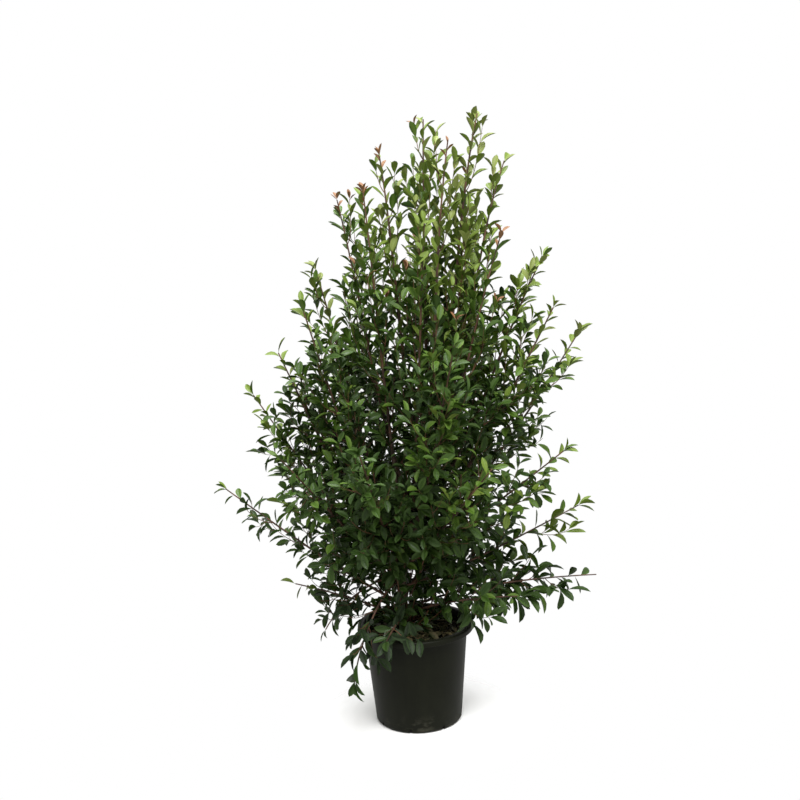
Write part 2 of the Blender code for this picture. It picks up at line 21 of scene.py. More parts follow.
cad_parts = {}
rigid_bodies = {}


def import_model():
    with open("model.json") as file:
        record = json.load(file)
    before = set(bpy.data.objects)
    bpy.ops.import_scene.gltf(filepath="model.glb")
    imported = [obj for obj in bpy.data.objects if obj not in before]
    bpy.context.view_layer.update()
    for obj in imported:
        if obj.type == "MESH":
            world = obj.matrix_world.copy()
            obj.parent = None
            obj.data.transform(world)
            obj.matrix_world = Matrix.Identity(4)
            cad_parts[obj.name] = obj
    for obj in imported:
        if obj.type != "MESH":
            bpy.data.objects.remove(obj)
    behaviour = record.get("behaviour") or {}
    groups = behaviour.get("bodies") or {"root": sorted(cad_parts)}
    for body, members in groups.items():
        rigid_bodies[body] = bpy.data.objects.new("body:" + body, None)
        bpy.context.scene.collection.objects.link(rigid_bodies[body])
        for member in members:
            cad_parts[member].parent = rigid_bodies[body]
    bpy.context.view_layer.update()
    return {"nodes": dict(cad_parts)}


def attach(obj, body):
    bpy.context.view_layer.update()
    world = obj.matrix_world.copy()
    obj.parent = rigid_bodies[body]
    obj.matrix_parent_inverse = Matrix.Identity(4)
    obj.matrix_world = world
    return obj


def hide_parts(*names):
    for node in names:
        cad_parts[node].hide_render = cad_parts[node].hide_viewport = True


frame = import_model()
NODES = sorted(frame["nodes"])
FOLIAGE_NODES = [name for name in NODES if "_foliage_" in name]
BOUGH_NODES = [name for name in NODES if "_bough_" in name]
print("solids:", len(NODES), "foliage masses:", len(FOLIAGE_NODES))

# %% [markdown]
# ## Two small helpers for nodes
#
# A material and a Geometry Nodes tree are both graphs. Placing each node and link by
# hand makes long scripts, so one class holds a material and one holds a tree. Inside a
# material, a value wraps a socket, and Python's own operators add the Math nodes.

# %% Values that add Math nodes


class Value:
    """A number that some node gives out. Sums and products of it add Math nodes."""

    def __init__(self, paint, socket):
        self.paint = paint
        self.socket = socket

    def __add__(self, other):
        return self.paint.math("ADD", self, other)

    def __radd__(self, other):
        return self.paint.math("ADD", other, self)

    def __sub__(self, other):
        return self.paint.math("SUBTRACT", self, other)

    def __rsub__(self, other):
        return self.paint.math("SUBTRACT", other, self)

    def __mul__(self, other):
        return self.paint.math("MULTIPLY", self, other)

    def __rmul__(self, other):
        return self.paint.math("MULTIPLY", other, self)


class Paint:
    """One material and the nodes that colour it."""

    def __init__(self, name):
        self.material = bpy.data.materials.new(name)
        self.material.use_nodes = True
        self.tree = self.material.node_tree
        self.shader = self.tree.nodes["Principled BSDF"]

    def feed(self, socket, value):
        if isinstance(value, Value):
            self.tree.links.new(value.socket, socket)
        else:
            socket.default_value = value

    def node(self, kind, settings, sockets, output=0):
        """Adds a node: its settings first, then the values or links of its sockets."""
        made = self.tree.nodes.new(kind)
        for name, value in settings.items():
            setattr(made, name, value)
        for name, value in sockets.items():
            self.feed(made.inputs[name], value)
        return Value(self, made.outputs[output])

    def math(self, operation, *values):
        return self.node("ShaderNodeMath", {"operation": operation}, dict(enumerate(values)))

    def mix(self, share, low, high):
        """Colour that goes from low to high as share goes from 0 to 1."""
        return self.node(
            "ShaderNodeMix", {"data_type": "RGBA"}, {0: share, 6: low, 7: high}, output=2)

    def ramp(self, value, start, end):
        """0 up to start, 1 from end on, and smooth between."""
        return self.node(
            "ShaderNodeMapRange", {"interpolation_type": "SMOOTHSTEP"},
            {"Value": value, "From Min": start, "From Max": end})

    def place(self, scale=(1.0, 1.0, 1.0)):
        """Object coordinates, stretched by a Mapping node."""
        raw = self.node("ShaderNodeTexCoord", {}, {}, output=3)
        return self.node("ShaderNodeMapping", {}, {"Vector": raw, "Scale": scale})

    def noise(self, where, scale, detail=3.0, roughness=0.5):
        sockets = {"Vector": where, "Scale": scale, "Detail": detail, "Roughness": roughness}
        return self.node("ShaderNodeTexNoise", {}, sockets)

    def bump(self, height, strength, distance):
        sockets = {"Height": height, "Strength": strength, "Distance": distance}
        return self.node("ShaderNodeBump", {}, sockets)

    def end(self, surface):
        """Ends the material in a shader of its own."""
        self.feed(self.tree.nodes["Material Output"].inputs["Surface"], surface)
        return self.material

    def set(self, **sockets):
        """Sets the main shader's sockets, named with _ for each space."""
        for name, value in sockets.items():
            self.feed(self.shader.inputs[name.replace("_", " ")], value)
        return self.material


print("helpers for materials are ready")

# %% A Geometry Nodes tree built in code


class Recipe:
    """A Geometry Nodes tree with named inputs, applied to a mesh for good."""

    def __init__(self, name):
        self.tree = bpy.data.node_groups.new(name, "GeometryNodeTree")
        self.entry = self.tree.nodes.new("NodeGroupInput")
        self.exit = self.tree.nodes.new("NodeGroupOutput")
        self.tree.interface.new_socket(
            "Result", in_out="OUTPUT", socket_type="NodeSocketGeometry")
        self.sockets = {}
        self.geometry = self.ask("Geometry", "NodeSocketGeometry")

    def ask(self, name, kind):
        """Adds a named input and gives its socket."""
        made = self.tree.interface.new_socket(name, in_out="INPUT", socket_type=kind)
        self.sockets[name] = made.identifier
        return self.entry.outputs[name]

    def node(self, kind, settings, sockets, output=0):
        made = self.tree.nodes.new(kind)
        for name, value in settings.items():
            setattr(made, name, value)
        for name, value in sockets.items():
            if isinstance(value, bpy.types.NodeSocket):
                self.tree.links.new(value, made.inputs[name])
            else:
                made.inputs[name].default_value = value
        return made.outputs[output]

    def attribute(self, name, kind):
        return self.node("GeometryNodeInputNamedAttribute", {"data_type": kind}, {"Name": name})

    def finish(self, geometry, material):
        """Ends the tree with real geometry in one material."""
        real = self.node("GeometryNodeRealizeInstances", {}, {"Geometry": geometry})
        made = self.node("GeometryNodeSetMaterial", {}, {"Geometry": real, "Material": material})
        self.tree.links.new(made, self.exit.inputs[0])

    def cook(self, mesh, **values):
        """The tree's result for a mesh, as a plain mesh."""
        holder = bpy.data.objects.new("holder", mesh)
        bpy.context.scene.collection.objects.link(holder)
        modifier = holder.modifiers.new("recipe", "NODES")
        modifier.node_group = self.tree
        for name, value in values.items():
            modifier[self.sockets[name.replace("_", " ")]] = value
        result = plain_mesh(holder)
        holder.modifiers.clear()
        bpy.data.objects.remove(holder)
        return result


def plain_mesh(item):
    """A copy of an object's mesh with its modifiers applied."""
    bpy.context.view_layer.update()
    graph = bpy.context.evaluated_depsgraph_get()
    return bpy.data.meshes.new_from_object(item.evaluated_get(graph))


def add_piece(name, mesh, slot, replaced=(), material=None):
    """Puts a finished mesh in the scene as one piece that rides on the root body."""
    item = bpy.data.objects.new(name, mesh)
    bpy.context.scene.collection.objects.link(item)
    if material is not None:
        mesh.materials.clear()
        mesh.materials.append(material)
    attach(item, "root")
    if replaced:
        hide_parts(*replaced)
    triangles = sum(len(face.vertices) - 2 for face in mesh.polygons)
    print("%-22s %7d triangles" % (name, triangles))
    return item


print("helpers for meshes are ready")

# %% [markdown]
# ## The pot
#
# A nursery pot is blow moulded: a thin wall, slightly tapered, with a rolled lip and a
# rounded lower corner. It is a body of revolution, so its outline is drawn once as a
# half section and the Screw modifier turns it round the Z axis. Eight narrow drain
# notches are then cut through the corner with Booleans.

# %% Outline of the pot
POT_HEIGHT = 0.330
POT_RIM_RADIUS = 0.1925
POT_MOUTH_RADIUS = 0.1715
POT_BODY_RADIUS = 0.1705
POT_FOOT_RADIUS = 0.1435
POT_WALL = 0.0025
POT_LIP_DROP = 0.018
POT_LIP_ROUND = 0.006
POT_INNER_ROUND = 0.004
POT_EDGE_ROUND = 0.8 * POT_WALL
POT_CORNER = 0.012
POT_SEGMENTS = 160
NOTCH_COUNT = 8
NOTCH_WIDTH = 0.0085
NOTCH_HEIGHT = 0.016
NOTCH_DEPTH = 0.024
NOTCH_PHASE = math.radians(-102.5)
WELD = 0.00001


def arc(centre, radius, start, end, steps):
    """Points of an arc in the plane of the outline, with angles in degrees."""
    points = []
    for step in range(steps + 1):
        angle = math.radians(start + (end - start) * step / steps)
        x = centre[0] + radius * math.cos(angle)
        points.append((x, centre[1] + radius * math.sin(angle)))
    return points


def straight(a, b, steps):
    """Points between two places, without either of them."""
    return [(a[0] + (b[0] - a[0]) * k / steps, a[1] + (b[1] - a[1]) * k / steps)
            for k in range(1, steps)]


def pot_outline():
    """From the middle of the floor up the inside, over the lip and down the outside."""
    corner = (POT_FOOT_RADIUS - POT_CORNER, POT_CORNER)
    lip = (POT_RIM_RADIUS - POT_LIP_ROUND, POT_HEIGHT - POT_LIP_ROUND)
    shoulder = POT_HEIGHT - POT_LIP_DROP
    small = POT_EDGE_ROUND
    points = [(0.0, POT_WALL)]
    points += arc(corner, POT_CORNER - POT_WALL, -90, 0, 6)
    points += [(POT_BODY_RADIUS - POT_WALL, shoulder)]
    mouth = (POT_MOUTH_RADIUS + POT_INNER_ROUND, POT_HEIGHT - POT_INNER_ROUND)
    points += arc(mouth, POT_INNER_ROUND, 180, 90, 5)
    points += arc(lip, POT_LIP_ROUND, 90, 0, 8)
    points += arc((POT_RIM_RADIUS - small, shoulder + small), small, 0, -90, 4)
    points += arc((POT_BODY_RADIUS + small, shoulder - small), small, 90, 180, 4)
    points += straight((POT_BODY_RADIUS, shoulder - small), (POT_FOOT_RADIUS, POT_CORNER), 12)
    points += arc(corner, POT_CORNER, 0, -90, 8)
    points += [(POT_FOOT_RADIUS - 2 * POT_CORNER, 0.0), (0.0, 0.0)]
    return points


print("pot:", round(2 * POT_RIM_RADIUS, 3), "m across the rim,", POT_HEIGHT, "m high")

# %% Turn the outline and cut the notches
POT_SHARP = math.radians(40.0)


def turned(outline, segments):
    """Body turned round Z from an outline in the XZ plane."""
    mesh = bpy.data.meshes.new("turned")
    edges = [(index, index + 1) for index in range(len(outline) - 1)]
    mesh.from_pydata([(x, 0.0, z) for x, z in outline], edges, [])
    item = bpy.data.objects.new("turned", mesh)
    bpy.context.scene.collection.objects.link(item)
    screw = item.modifiers.new("turn", "SCREW")
    screw.steps = segments
    screw.render_steps = segments
    screw.use_merge_vertices = True
    screw.merge_threshold = WELD
    screw.use_smooth_shade = True
    return item


def cut_notches(pot):
    cutters = []
    for number in range(NOTCH_COUNT):
        angle = NOTCH_PHASE + number * math.tau / NOTCH_COUNT
        work = bmesh.new()
        bmesh.ops.create_cube(work, size=1.0)
        size = Matrix.Diagonal((NOTCH_DEPTH, NOTCH_WIDTH, 2 * NOTCH_HEIGHT, 1.0))
        turn = Matrix.Rotation(angle, 4, "Z")
        move = Matrix.Translation((POT_FOOT_RADIUS, 0.0, 0.0))
        bmesh.ops.transform(work, matrix=turn @ move @ size, verts=work.verts)
        mesh = bpy.data.meshes.new("notch")
        work.to_mesh(mesh)
        work.free()
        cutter = bpy.data.objects.new("notch", mesh)
        bpy.context.scene.collection.objects.link(cutter)
        cutters.append(cutter)
        cut = pot.modifiers.new("notch", "BOOLEAN")
        cut.operation = "DIFFERENCE"
        cut.object = cutter
    result = plain_mesh(pot)
    for item in [pot] + cutters:
        bpy.data.objects.remove(item)
    return result


pot_mesh = cut_notches(turned(pot_outline(), POT_SEGMENTS))
pot_mesh.shade_smooth()
pot_mesh.set_sharp_from_angle(angle=POT_SHARP)
print("pot mesh:", len(pot_mesh.polygons), "faces")

# %% [markdown]
# ## Recycled black plastic
#
# The plastic is nearly black with a green cast, and dull rather than glossy. Four
# things keep it from looking flat: faint streaks that run up and down the wall, pale
# dried splashes near the foot, a little dust on the lip, and a fine grain. Streaks and
# grain are a bump, and all but the grain change the colour a little.

# %% Plastic of the pot
POT_DARK = (0.0034, 0.0039, 0.0013, 1.0)
POT_LIGHT = (0.0056, 0.0063, 0.0025, 1.0)
POT_CLOUD = (0.0088, 0.0100, 0.0046, 1.0)
POT_SPLASH = (0.0330, 0.0325, 0.0230, 1.0)
SPLASH_HEIGHTS = (0.012, 0.075)
DUSTY_HEIGHTS = (0.300, 0.326)


def plastic():
    paint = Paint("pot_plastic")
    streaks = paint.noise(paint.place((26.0, 26.0, 1.6)), 1.0, 4.0, 0.6)
    clouds = paint.noise(paint.place(), 9.0, 4.0, 0.55)
    grain = paint.noise(paint.place(), 900.0, 2.0, 0.5)
    height = paint.node("ShaderNodeSeparateXYZ", {}, {"Vector": paint.place()}, output=2)
    low = 1.0 - paint.ramp(height, *SPLASH_HEIGHTS)
    marks = paint.ramp(paint.noise(paint.place((1.0, 1.0, 2.2)), 22.0, 6.0, 0.68), 0.50, 0.62)
    splashes = low * marks
    top = paint.ramp(height, *DUSTY_HEIGHTS)
    base = paint.mix(paint.ramp(streaks, 0.30, 0.75), POT_DARK, POT_LIGHT)
    base = paint.mix(paint.ramp(clouds, 0.35, 0.80) * 0.5, base, POT_CLOUD)
    base = paint.mix(splashes * 0.9, base, POT_SPLASH)
    base = paint.mix(top * 0.35, base, POT_CLOUD)
    rough = 0.44 + clouds * 0.16 + splashes * 0.2
    relief = grain * 0.5 + streaks * 0.6
    return paint.set(
        Base_Color=base, Roughness=rough, Normal=paint.bump(relief, 0.25, 0.0006),
        Specular_IOR_Level=0.12)


add_piece("pot_shell", pot_mesh, "pot", ["pot"], plastic())

# %% [markdown]
# ## Soil and bark chips
#
# The mix is mostly crushed bark and peat, green with moss in patches. Its top is a disc
# whose rings are raised by noise, heaped a little round the trunk and closed below like
# the solid it replaces. Loose chips lie on it. A Geometry Nodes tree scatters them,
# because one rule then sets how many there are and how big, and it is used again later.

# %% Soil body
SOIL_LEVEL = 0.300
SOIL_RINGS = 26
SOIL_SEGMENTS = 96
SOIL_RELIEF = 0.0045
SOIL_FLAT_RADIUS = 0.085
SOIL_EDGE_WIDTH = 0.080
SOIL_EDGE_DROP = 0.005
SOIL_MOUND = 0.004
SOIL_CHAMFER = 0.009
FIT = 0.0006


def inner_radius(height):
    """Radius of the pot's inner wall at a height."""
    low, high = POT_CORNER, POT_HEIGHT - POT_LIP_DROP
    share = (height - low) / (high - low)
    return POT_FOOT_RADIUS + (POT_BODY_RADIUS - POT_FOOT_RADIUS) * share - POT_WALL


def soil_height(x, y):
    radius = math.hypot(x, y)
    edge = max(0.0, (radius - SOIL_FLAT_RADIUS) / SOIL_EDGE_WIDTH)
    rough = noise.fractal(Vector((x * 60.0, y * 60.0, 3.0)), 0.9, 2.1, 4)
    mound = SOIL_MOUND * math.exp(-((x + 0.03) ** 2 + y * y) / 0.003)
    return SOIL_LEVEL - SOIL_EDGE_DROP * edge + SOIL_RELIEF * rough + mound


def ring_of_points(work, radius, height_at):
    """Vertices round the Z axis, each at the height that its place gives."""
    row = []
    for step in range(SOIL_SEGMENTS):
        angle = step * math.tau / SOIL_SEGMENTS
        x, y = radius * math.cos(angle), radius * math.sin(angle)
        row.append(work.verts.new((x, y, height_at(x, y))))
    return row


def soil_mesh():
    work = bmesh.new()
    outer = inner_radius(SOIL_LEVEL - SOIL_EDGE_DROP) - FIT
    middle = work.verts.new((0.0, 0.0, soil_height(0.0, 0.0)))
    rows = [ring_of_points(work, outer * ring / SOIL_RINGS, soil_height)
            for ring in range(1, SOIL_RINGS + 1)]
    foot = POT_FOOT_RADIUS - POT_WALL - FIT
    floor = POT_WALL + FIT
    rows.append(ring_of_points(work, foot, lambda x, y: POT_CORNER))
    rows.append(ring_of_points(work, foot - SOIL_CHAMFER, lambda x, y: floor))
    bottom = work.verts.new((0.0, 0.0, floor))
    for step in range(SOIL_SEGMENTS):
        after = (step + 1) % SOIL_SEGMENTS
        work.faces.new((middle, rows[0][step], rows[0][after]))
        for inner, outside in zip(rows, rows[1:]):
            work.faces.new((inner[step], outside[step], outside[after], inner[after]))
        work.faces.new((rows[-1][step], bottom, rows[-1][after]))
    bmesh.ops.recalc_face_normals(work, faces=work.faces)
    mesh = bpy.data.meshes.new("soil")
    work.to_mesh(mesh)
    work.free()
    mesh.shade_smooth()
    return mesh


soil_piece = soil_mesh()
print("soil mesh:", len(soil_piece.polygons), "faces")

# %% Potting mix
SOIL_DARK = (0.012, 0.010, 0.006, 1.0)
SOIL_LIGHT = (0.046, 0.036, 0.020, 1.0)
SOIL_CRUMB = (0.090, 0.070, 0.044, 1.0)
SOIL_MOSS = (0.032, 0.042, 0.010, 1.0)
# Painted shade: the soil low in the pot, seen only through the drain notches, is nearly black.
SOIL_PAINTED_SHADE = (0.0012, 0.0011, 0.0008, 1.0)
PAINTED_SHADE_HEIGHTS = (0.06, 0.20)


def potting_mix():
    """Lumps and pale crumbs with moss on top, and nearly black painted shade low in the pot."""
    paint = Paint("potting_mix")
    lumps = paint.noise(paint.place(), 90.0, 6.0, 0.65)
    fine = paint.noise(paint.place(), 420.0, 4.0, 0.6)
    shade = paint.ramp(lumps, 0.32, 0.72)
    moss = paint.ramp(paint.noise(paint.place(), 28.0, 3.0, 0.6), 0.48, 0.62)
    base = paint.mix(shade, SOIL_DARK, SOIL_LIGHT)
    base = paint.mix(paint.ramp(fine, 0.62, 0.75) * 0.5, base, SOIL_CRUMB)
    base = paint.mix(moss * 0.7, base, SOIL_MOSS)
    height = paint.node("ShaderNodeSeparateXYZ", {}, {"Vector": paint.place()}, output=2)
    # Painted shade: nearly black up to the lower height, fading into the mix by the upper one.
    base = paint.mix(paint.ramp(height, *PAINTED_SHADE_HEIGHTS), SOIL_PAINTED_SHADE, base)
    return paint.set(
        Base_Color=base, Roughness=0.86 + fine * 0.1,
        Normal=paint.bump(lumps * 0.8 + fine * 0.4, 0.9, 0.003), Specular_IOR_Level=0.25)


add_piece("soil_surface", soil_piece, "soil", ["soil"], potting_mix())

# %% Bark chips scattered on the soil
CHIP_DENSITY = 7500.0
CHIP_GAP = 0.0065
CHIP_SEED = 5
CHIP_SHAPES = 5
CHIP_EDGE = 0.153
CHIP_LIFT = 0.001
CHIP_SIZES = (0.006, 0.019)
CHIP_WIDTH = 0.55
CHIP_THICKNESS = 0.26
CHIP_WOBBLE = 0.28
CHIP_DARK = (0.020, 0.015, 0.009, 1.0)
CHIP_LIGHT = (0.085, 0.060, 0.034, 1.0)
CHIP_MOSS = (0.045, 0.055, 0.018, 1.0)


def chip_shape(seed):
    """A flat angular flake about one unit long."""
    rng = random.Random(seed)
    work = bmesh.new()
    bmesh.ops.create_icosphere(work, subdivisions=1, radius=0.5)
    for vertex in work.verts:
        wobble = 1.0 + rng.uniform(-CHIP_WOBBLE, CHIP_WOBBLE)
        vertex.co.x *= wobble
        vertex.co.y *= CHIP_WIDTH * wobble
        vertex.co.z *= CHIP_THICKNESS * wobble
    mesh = bpy.data.meshes.new("chip")
    work.to_mesh(mesh)
    work.free()
    return mesh


def soil_top(edge):
    """The top of the soil out to an edge, as a surface for loose things to lie on."""
    work = bmesh.new()
    bmesh.ops.create_circle(work, cap_ends=True, segments=48, radius=edge)
    bmesh.ops.poke(work, faces=work.faces)
    bmesh.ops.subdivide_edges(work, edges=work.edges, cuts=5, use_grid_fill=True)
    for vertex in work.verts:
        vertex.co.z = soil_height(vertex.co.x, vertex.co.y) + CHIP_LIFT
    mesh = bpy.data.meshes.new("soil_top")
    work.to_mesh(mesh)
    work.free()
    return mesh


def shape_set(name, meshes):
    """A collection of shapes that a tree can pick from. It isn't shown itself."""
    group = bpy.data.collections.new(name)
    for number, mesh in enumerate(meshes):
        group.objects.link(bpy.data.objects.new("%s_%02d" % (name, number), mesh))
    return group


def scatter_recipe():
    """Shapes laid flat on a surface, each turned and sized by chance."""
    tree = Recipe("scatter_on_soil")
    shapes = tree.ask("Shapes", "NodeSocketCollection")
    density = tree.ask("Density", "NodeSocketFloat")
    gap = tree.ask("Gap", "NodeSocketFloat")
    smallest = tree.ask("Smallest", "NodeSocketFloat")
    largest = tree.ask("Largest", "NodeSocketFloat")
    seed = tree.ask("Seed", "NodeSocketInt")
    material = tree.ask("Material", "NodeSocketMaterial")
    points = tree.node(
        "GeometryNodeDistributePointsOnFaces", {"distribute_method": "POISSON"},
        {"Mesh": tree.geometry, "Distance Min": gap, "Density Max": density, "Seed": seed})
    spin = tree.node(
        "FunctionNodeRandomValue", {"data_type": "FLOAT_VECTOR"},
        {0: (-0.5, -0.5, 0.0), 1: (0.5, 0.5, math.tau), "Seed": seed})
    turn = tree.node("FunctionNodeEulerToRotation", {}, {"Euler": spin})
    size = tree.node(
        "FunctionNodeRandomValue", {"data_type": "FLOAT"},
        {2: smallest, 3: largest, "Seed": seed}, output=1)
    picked = tree.node(
        "GeometryNodeCollectionInfo", {},
        {"Collection": shapes, "Separate Children": True, "Reset Children": True})
    placed = tree.node(
        "GeometryNodeInstanceOnPoints", {},
        {"Points": points, "Instance": picked, "Pick Instance": True,
         "Rotation": turn, "Scale": size})
    tree.finish(placed, material)
    return tree


def chip_bark():
    paint = Paint("chip_bark")
    tone = paint.noise(paint.place(), 65.0, 2.0, 0.5)
    fibre = paint.noise(paint.place(), 300.0, 4.0, 0.6)
    base = paint.mix(paint.ramp(tone, 0.35, 0.68), CHIP_DARK, CHIP_LIGHT)
    base = paint.mix(paint.ramp(fibre, 0.55, 0.75) * 0.5, base, CHIP_MOSS)
    return paint.set(
        Base_Color=base, Roughness=0.75 + fibre * 0.2,
        Normal=paint.bump(fibre, 0.6, 0.001), Specular_IOR_Level=0.3)


chip_shapes = shape_set("chip", [chip_shape(seed) for seed in range(CHIP_SHAPES)])
scatter = scatter_recipe()
chip_mesh = scatter.cook(
    soil_top(CHIP_EDGE), Shapes=chip_shapes, Density=CHIP_DENSITY, Gap=CHIP_GAP,
    Smallest=CHIP_SIZES[0], Largest=CHIP_SIZES[1], Seed=CHIP_SEED, Material=chip_bark())
add_piece("bark_chips", chip_mesh, "soil")

# %% [markdown]
# ## How the shrub grows
#
# The shrub is a family of shoots. Each leaves the short trunk, bends outwards and rises
# to its own tip. Shoots come in tiers: leaders at the top, then upper, middle and lower
# ones, a skirt over the rim, and two that trail down the pot. The table gives each
# tier's habit and each shoot's bearing, reach and height; all else follows from it.

# %% Habit of each tier
TRUNK_STATIONS = (
    # height, lean x, lean y, radius
    (0.3003, -0.030, 0.000, 0.0290),
    (0.312, -0.030, 0.000, 0.0220),
    (0.335, -0.033, -0.001, 0.0180),
    (0.400, -0.039, -0.004, 0.0160),
    (0.480, -0.041, -0.006, 0.0148),
    (0.570, -0.028, -0.005, 0.0135),
    (0.670, -0.002, -0.001, 0.0120),
    (0.780, 0.031, 0.003, 0.0105),
    (0.890, 0.058, 0.006, 0.0088),
)

# foot: lowest and highest start on the trunk. leans: lean from upright at foot and tip,
# as a multiple of the shoot's own. bough: share that is bare bough. thick: radii at foot
# and tip. span: share of the leafy stem with side twigs. reach: longest twig. spread:
# angle between twig and stem. leaf: length and spacing. stand: angles between leaf and
# twig. sag: how far leaves hang. shade: how light its green is, partly the age of its
# leaves and partly painted shade that makes low tiers darker and high ones lighter.
# shoots: each one's bearing in degrees, reach and height of its tip.
Tier = namedtuple(
    "Tier", "name foot leans bough thick span reach spread leaf stand sag shade shoots")

TIERS = (
    Tier("leader", (0.700, 0.876), (2.4, 1.35), 0.32, (0.0078, 0.0019),
         (0.03, 0.62), 0.34, 13, (0.057, 0.0215), (18, 44), -0.10, 0.80, (
        (-31, 0.192, 1.908),
        (13, 0.365, 1.845),
        (-11, 0.266, 1.985),
        (68, 0.216, 1.825),
        (180, 0.053, 1.874),
        (23, 0.101, 1.983),
    )),
    Tier("upper", (0.580, 0.700), (1.8, 1.05), 0.33, (0.0070, 0.0019),
         (0.03, 0.66), 0.31, 18, (0.058, 0.0198), (23, 48), -0.05, 0.62, (
        (154, 0.316, 1.524),
        (-131, 0.160, 1.762),
        (-30, 0.362, 1.619),
        (45, 0.371, 1.620),
        (-73, 0.262, 1.661),
        (2, 0.465, 1.536),
        (158, 0.213, 1.747),
    )),
    Tier("middle", (0.490, 0.610), (1.5, 0.85), 0.30, (0.0066, 0.0019),
         (0.03, 0.72), 0.25, 30, (0.058, 0.0170), (30, 58), 0.00, 0.41, (
        (113, 0.423, 1.380),
        (177, 0.413, 1.268),
        (-150, 0.356, 1.425),
        (-69, 0.411, 1.310),
        (11, 0.603, 1.279),
        (-14, 0.491, 1.386),
        (54, 0.483, 1.360),
    )),
    Tier("lower", (0.395, 0.530), (1.15, 0.95), 0.0, (0.0052, 0.0019),
         (0.16, 0.80), 0.22, 40, (0.057, 0.0152), (34, 64), 0.15, 0.46, (
        (-178, 0.616, 0.832),
        (48, 0.510, 1.000),
        (130, 0.520, 0.980),
        (169, 0.525, 1.121),
        (10, 0.596, 0.688),
        (90, 0.490, 0.930),
        (-143, 0.496, 0.980),
        (-110, 0.430, 1.000),
        (-58, 0.470, 0.940),
        (-13, 0.521, 0.927),
    )),
    Tier("skirt", (0.335, 0.375), (0.80, 1.10), 0.0, (0.0044, 0.0019),
         (0.26, 0.82), 0.17, 42, (0.066, 0.0175), (40, 70), 0.50, 0.35, (
        (180, 0.415, 0.486),
        (-106, 0.350, 0.385),
        (-34, 0.410, 0.482),
        (85, 0.440, 0.490),
        (0, 0.629, 0.466),
    )),
    Tier("trailing", (0.458, 0.470), (0.30, 1.36), 0.0, (0.0040, 0.0019),
         (0.50, 0.85), 0.12, 42, (0.070, 0.0190), (40, 70), 0.80, 0.22, (
        (-130, 0.312, 0.204),
        (-162, 0.318, 0.329),
    )),
)
FOOT_PULL = 0.26
TIP_PULL = 0.34
PATH_STEPS = 64
GOLDEN_ANGLE = math.radians(137.508)
UP = Vector((0.0, 0.0, 1.0))
print("shoots:", sum(len(tier.shoots) for tier in TIERS))

# %% [markdown]
# ### Paths and shoots
#
# A shoot is a cubic Bezier curve from the trunk to its tip. Reading a curve by distance,
# not by its own parameter, makes even spacing along it easy, and leaves and twigs are
# evenly spaced on a real stem.

# %% Paths read by distance


class Path:
    """A line through space, read by the distance along it."""

    def __init__(self, points):
        self.points = points
        self.marks = [0.0]
        for before, after in zip(points, points[1:]):
            self.marks.append(self.marks[-1] + (after - before).length)
        self.length = self.marks[-1]

    def segment(self, distance):
        distance = min(max(distance, 0.0), self.length)
        index = 0
        while index < len(self.marks) - 2 and self.marks[index + 1] < distance:
            index += 1
        return index, distance

    def point(self, distance):
        index, distance = self.segment(distance)
        span = self.marks[index + 1] - self.marks[index]
        return self.points[index].lerp(
            self.points[index + 1], (distance - self.marks[index]) / span)

    def heading(self, distance):
        index, _ = self.segment(distance)
        return (self.points[index + 1] - self.points[index]).normalized()


def bezier(a, b, c, d, steps):
    points = []
    for step in range(steps + 1):
        t = step / steps
        s = 1.0 - t
        points.append(a * s**3 + b * (3 * s * s * t) + c * (3 * s * t * t) + d * t**3)
    return Path(points)


def trunk_axis(height):
    """Point of the trunk's centre line at a height."""
    lower = TRUNK_STATIONS[0]
    for upper in TRUNK_STATIONS[1:]:
        if height <= upper[0]:
            share = (height - lower[0]) / (upper[0] - lower[0])
            x = lower[1] + (upper[1] - lower[1]) * share
            y = lower[2] + (upper[2] - lower[2]) * share
            return Vector((x, y, height))
        lower = upper
    return Vector((lower[1], lower[2], height))


def leaning(side, lean):
    return side * math.sin(lean) + UP * math.cos(lean)


class Shoot:
    """One shoot: its line from the trunk to its tip, and where its bare bough ends."""

    def __init__(self, tier, number, seed):
        bearing, reach, top = tier.shoots[number]
        foot = tier.foot[0] + (tier.foot[1] - tier.foot[0]) * number / (len(tier.shoots) - 1)
        angle = math.radians(bearing)
        start = trunk_axis(foot)
        tip = Vector((reach * math.cos(angle), reach * math.sin(angle), top))
        chord = tip - start
        side = Vector((chord.x, chord.y, 0.0)).normalized()
        lean = math.atan2(math.hypot(chord.x, chord.y), chord.z)
        out = leaning(side, lean * tier.leans[0]) * chord.length * FOOT_PULL
        back = leaning(side, lean * tier.leans[1]) * chord.length * TIP_PULL
        self.tier = tier
        self.seed = seed
        self.path = bezier(start, start + out, tip - back, tip, PATH_STEPS)
        self.fork = self.path.length * tier.bough
        self.name = "%s_%d" % (tier.name, number + 1)

    def radius(self, distance):
        share = min(distance / self.path.length, 1.0)
        return self.tier.thick[0] + (self.tier.thick[1] - self.tier.thick[0]) * share


SHOOTS = []
for tier in TIERS:
    for number in range(len(tier.shoots)):
        SHOOTS.append(Shoot(tier, number, len(SHOOTS)))
print("length of all shoots:", round(sum(shoot.path.length for shoot in SHOOTS), 1), "m")

# %% [markdown]
# ### Each shoot's own space
#
# Twigs of neighbouring shoots would run through each other if nothing held them back. A
# twig is kept while it is nearer to its own shoot than to any other. A KD tree of points
# along all the shoots finds the nearest one fast. Only the short twigs close to the trunk
# are free of this rule, since no shoot has room of its own there. Nothing may enter the
# pot or the soil.

# %% Space that a shoot may fill
FLOOR_CLEARANCE = 0.030
POT_CLEARANCE = 0.004


def clear_of_pot(point):
    """True outside the pot and above both its soil and the floor."""
    radius = math.hypot(point.x, point.y)
    if point.z < FLOOR_CLEARANCE:
        return False
    if radius > POT_RIM_RADIUS + POT_CLEARANCE or point.z > POT_HEIGHT + POT_CLEARANCE:
        return True
    return point.z > SOIL_LEVEL + POT_CLEARANCE and radius < POT_MOUTH_RADIUS - POT_CLEARANCE


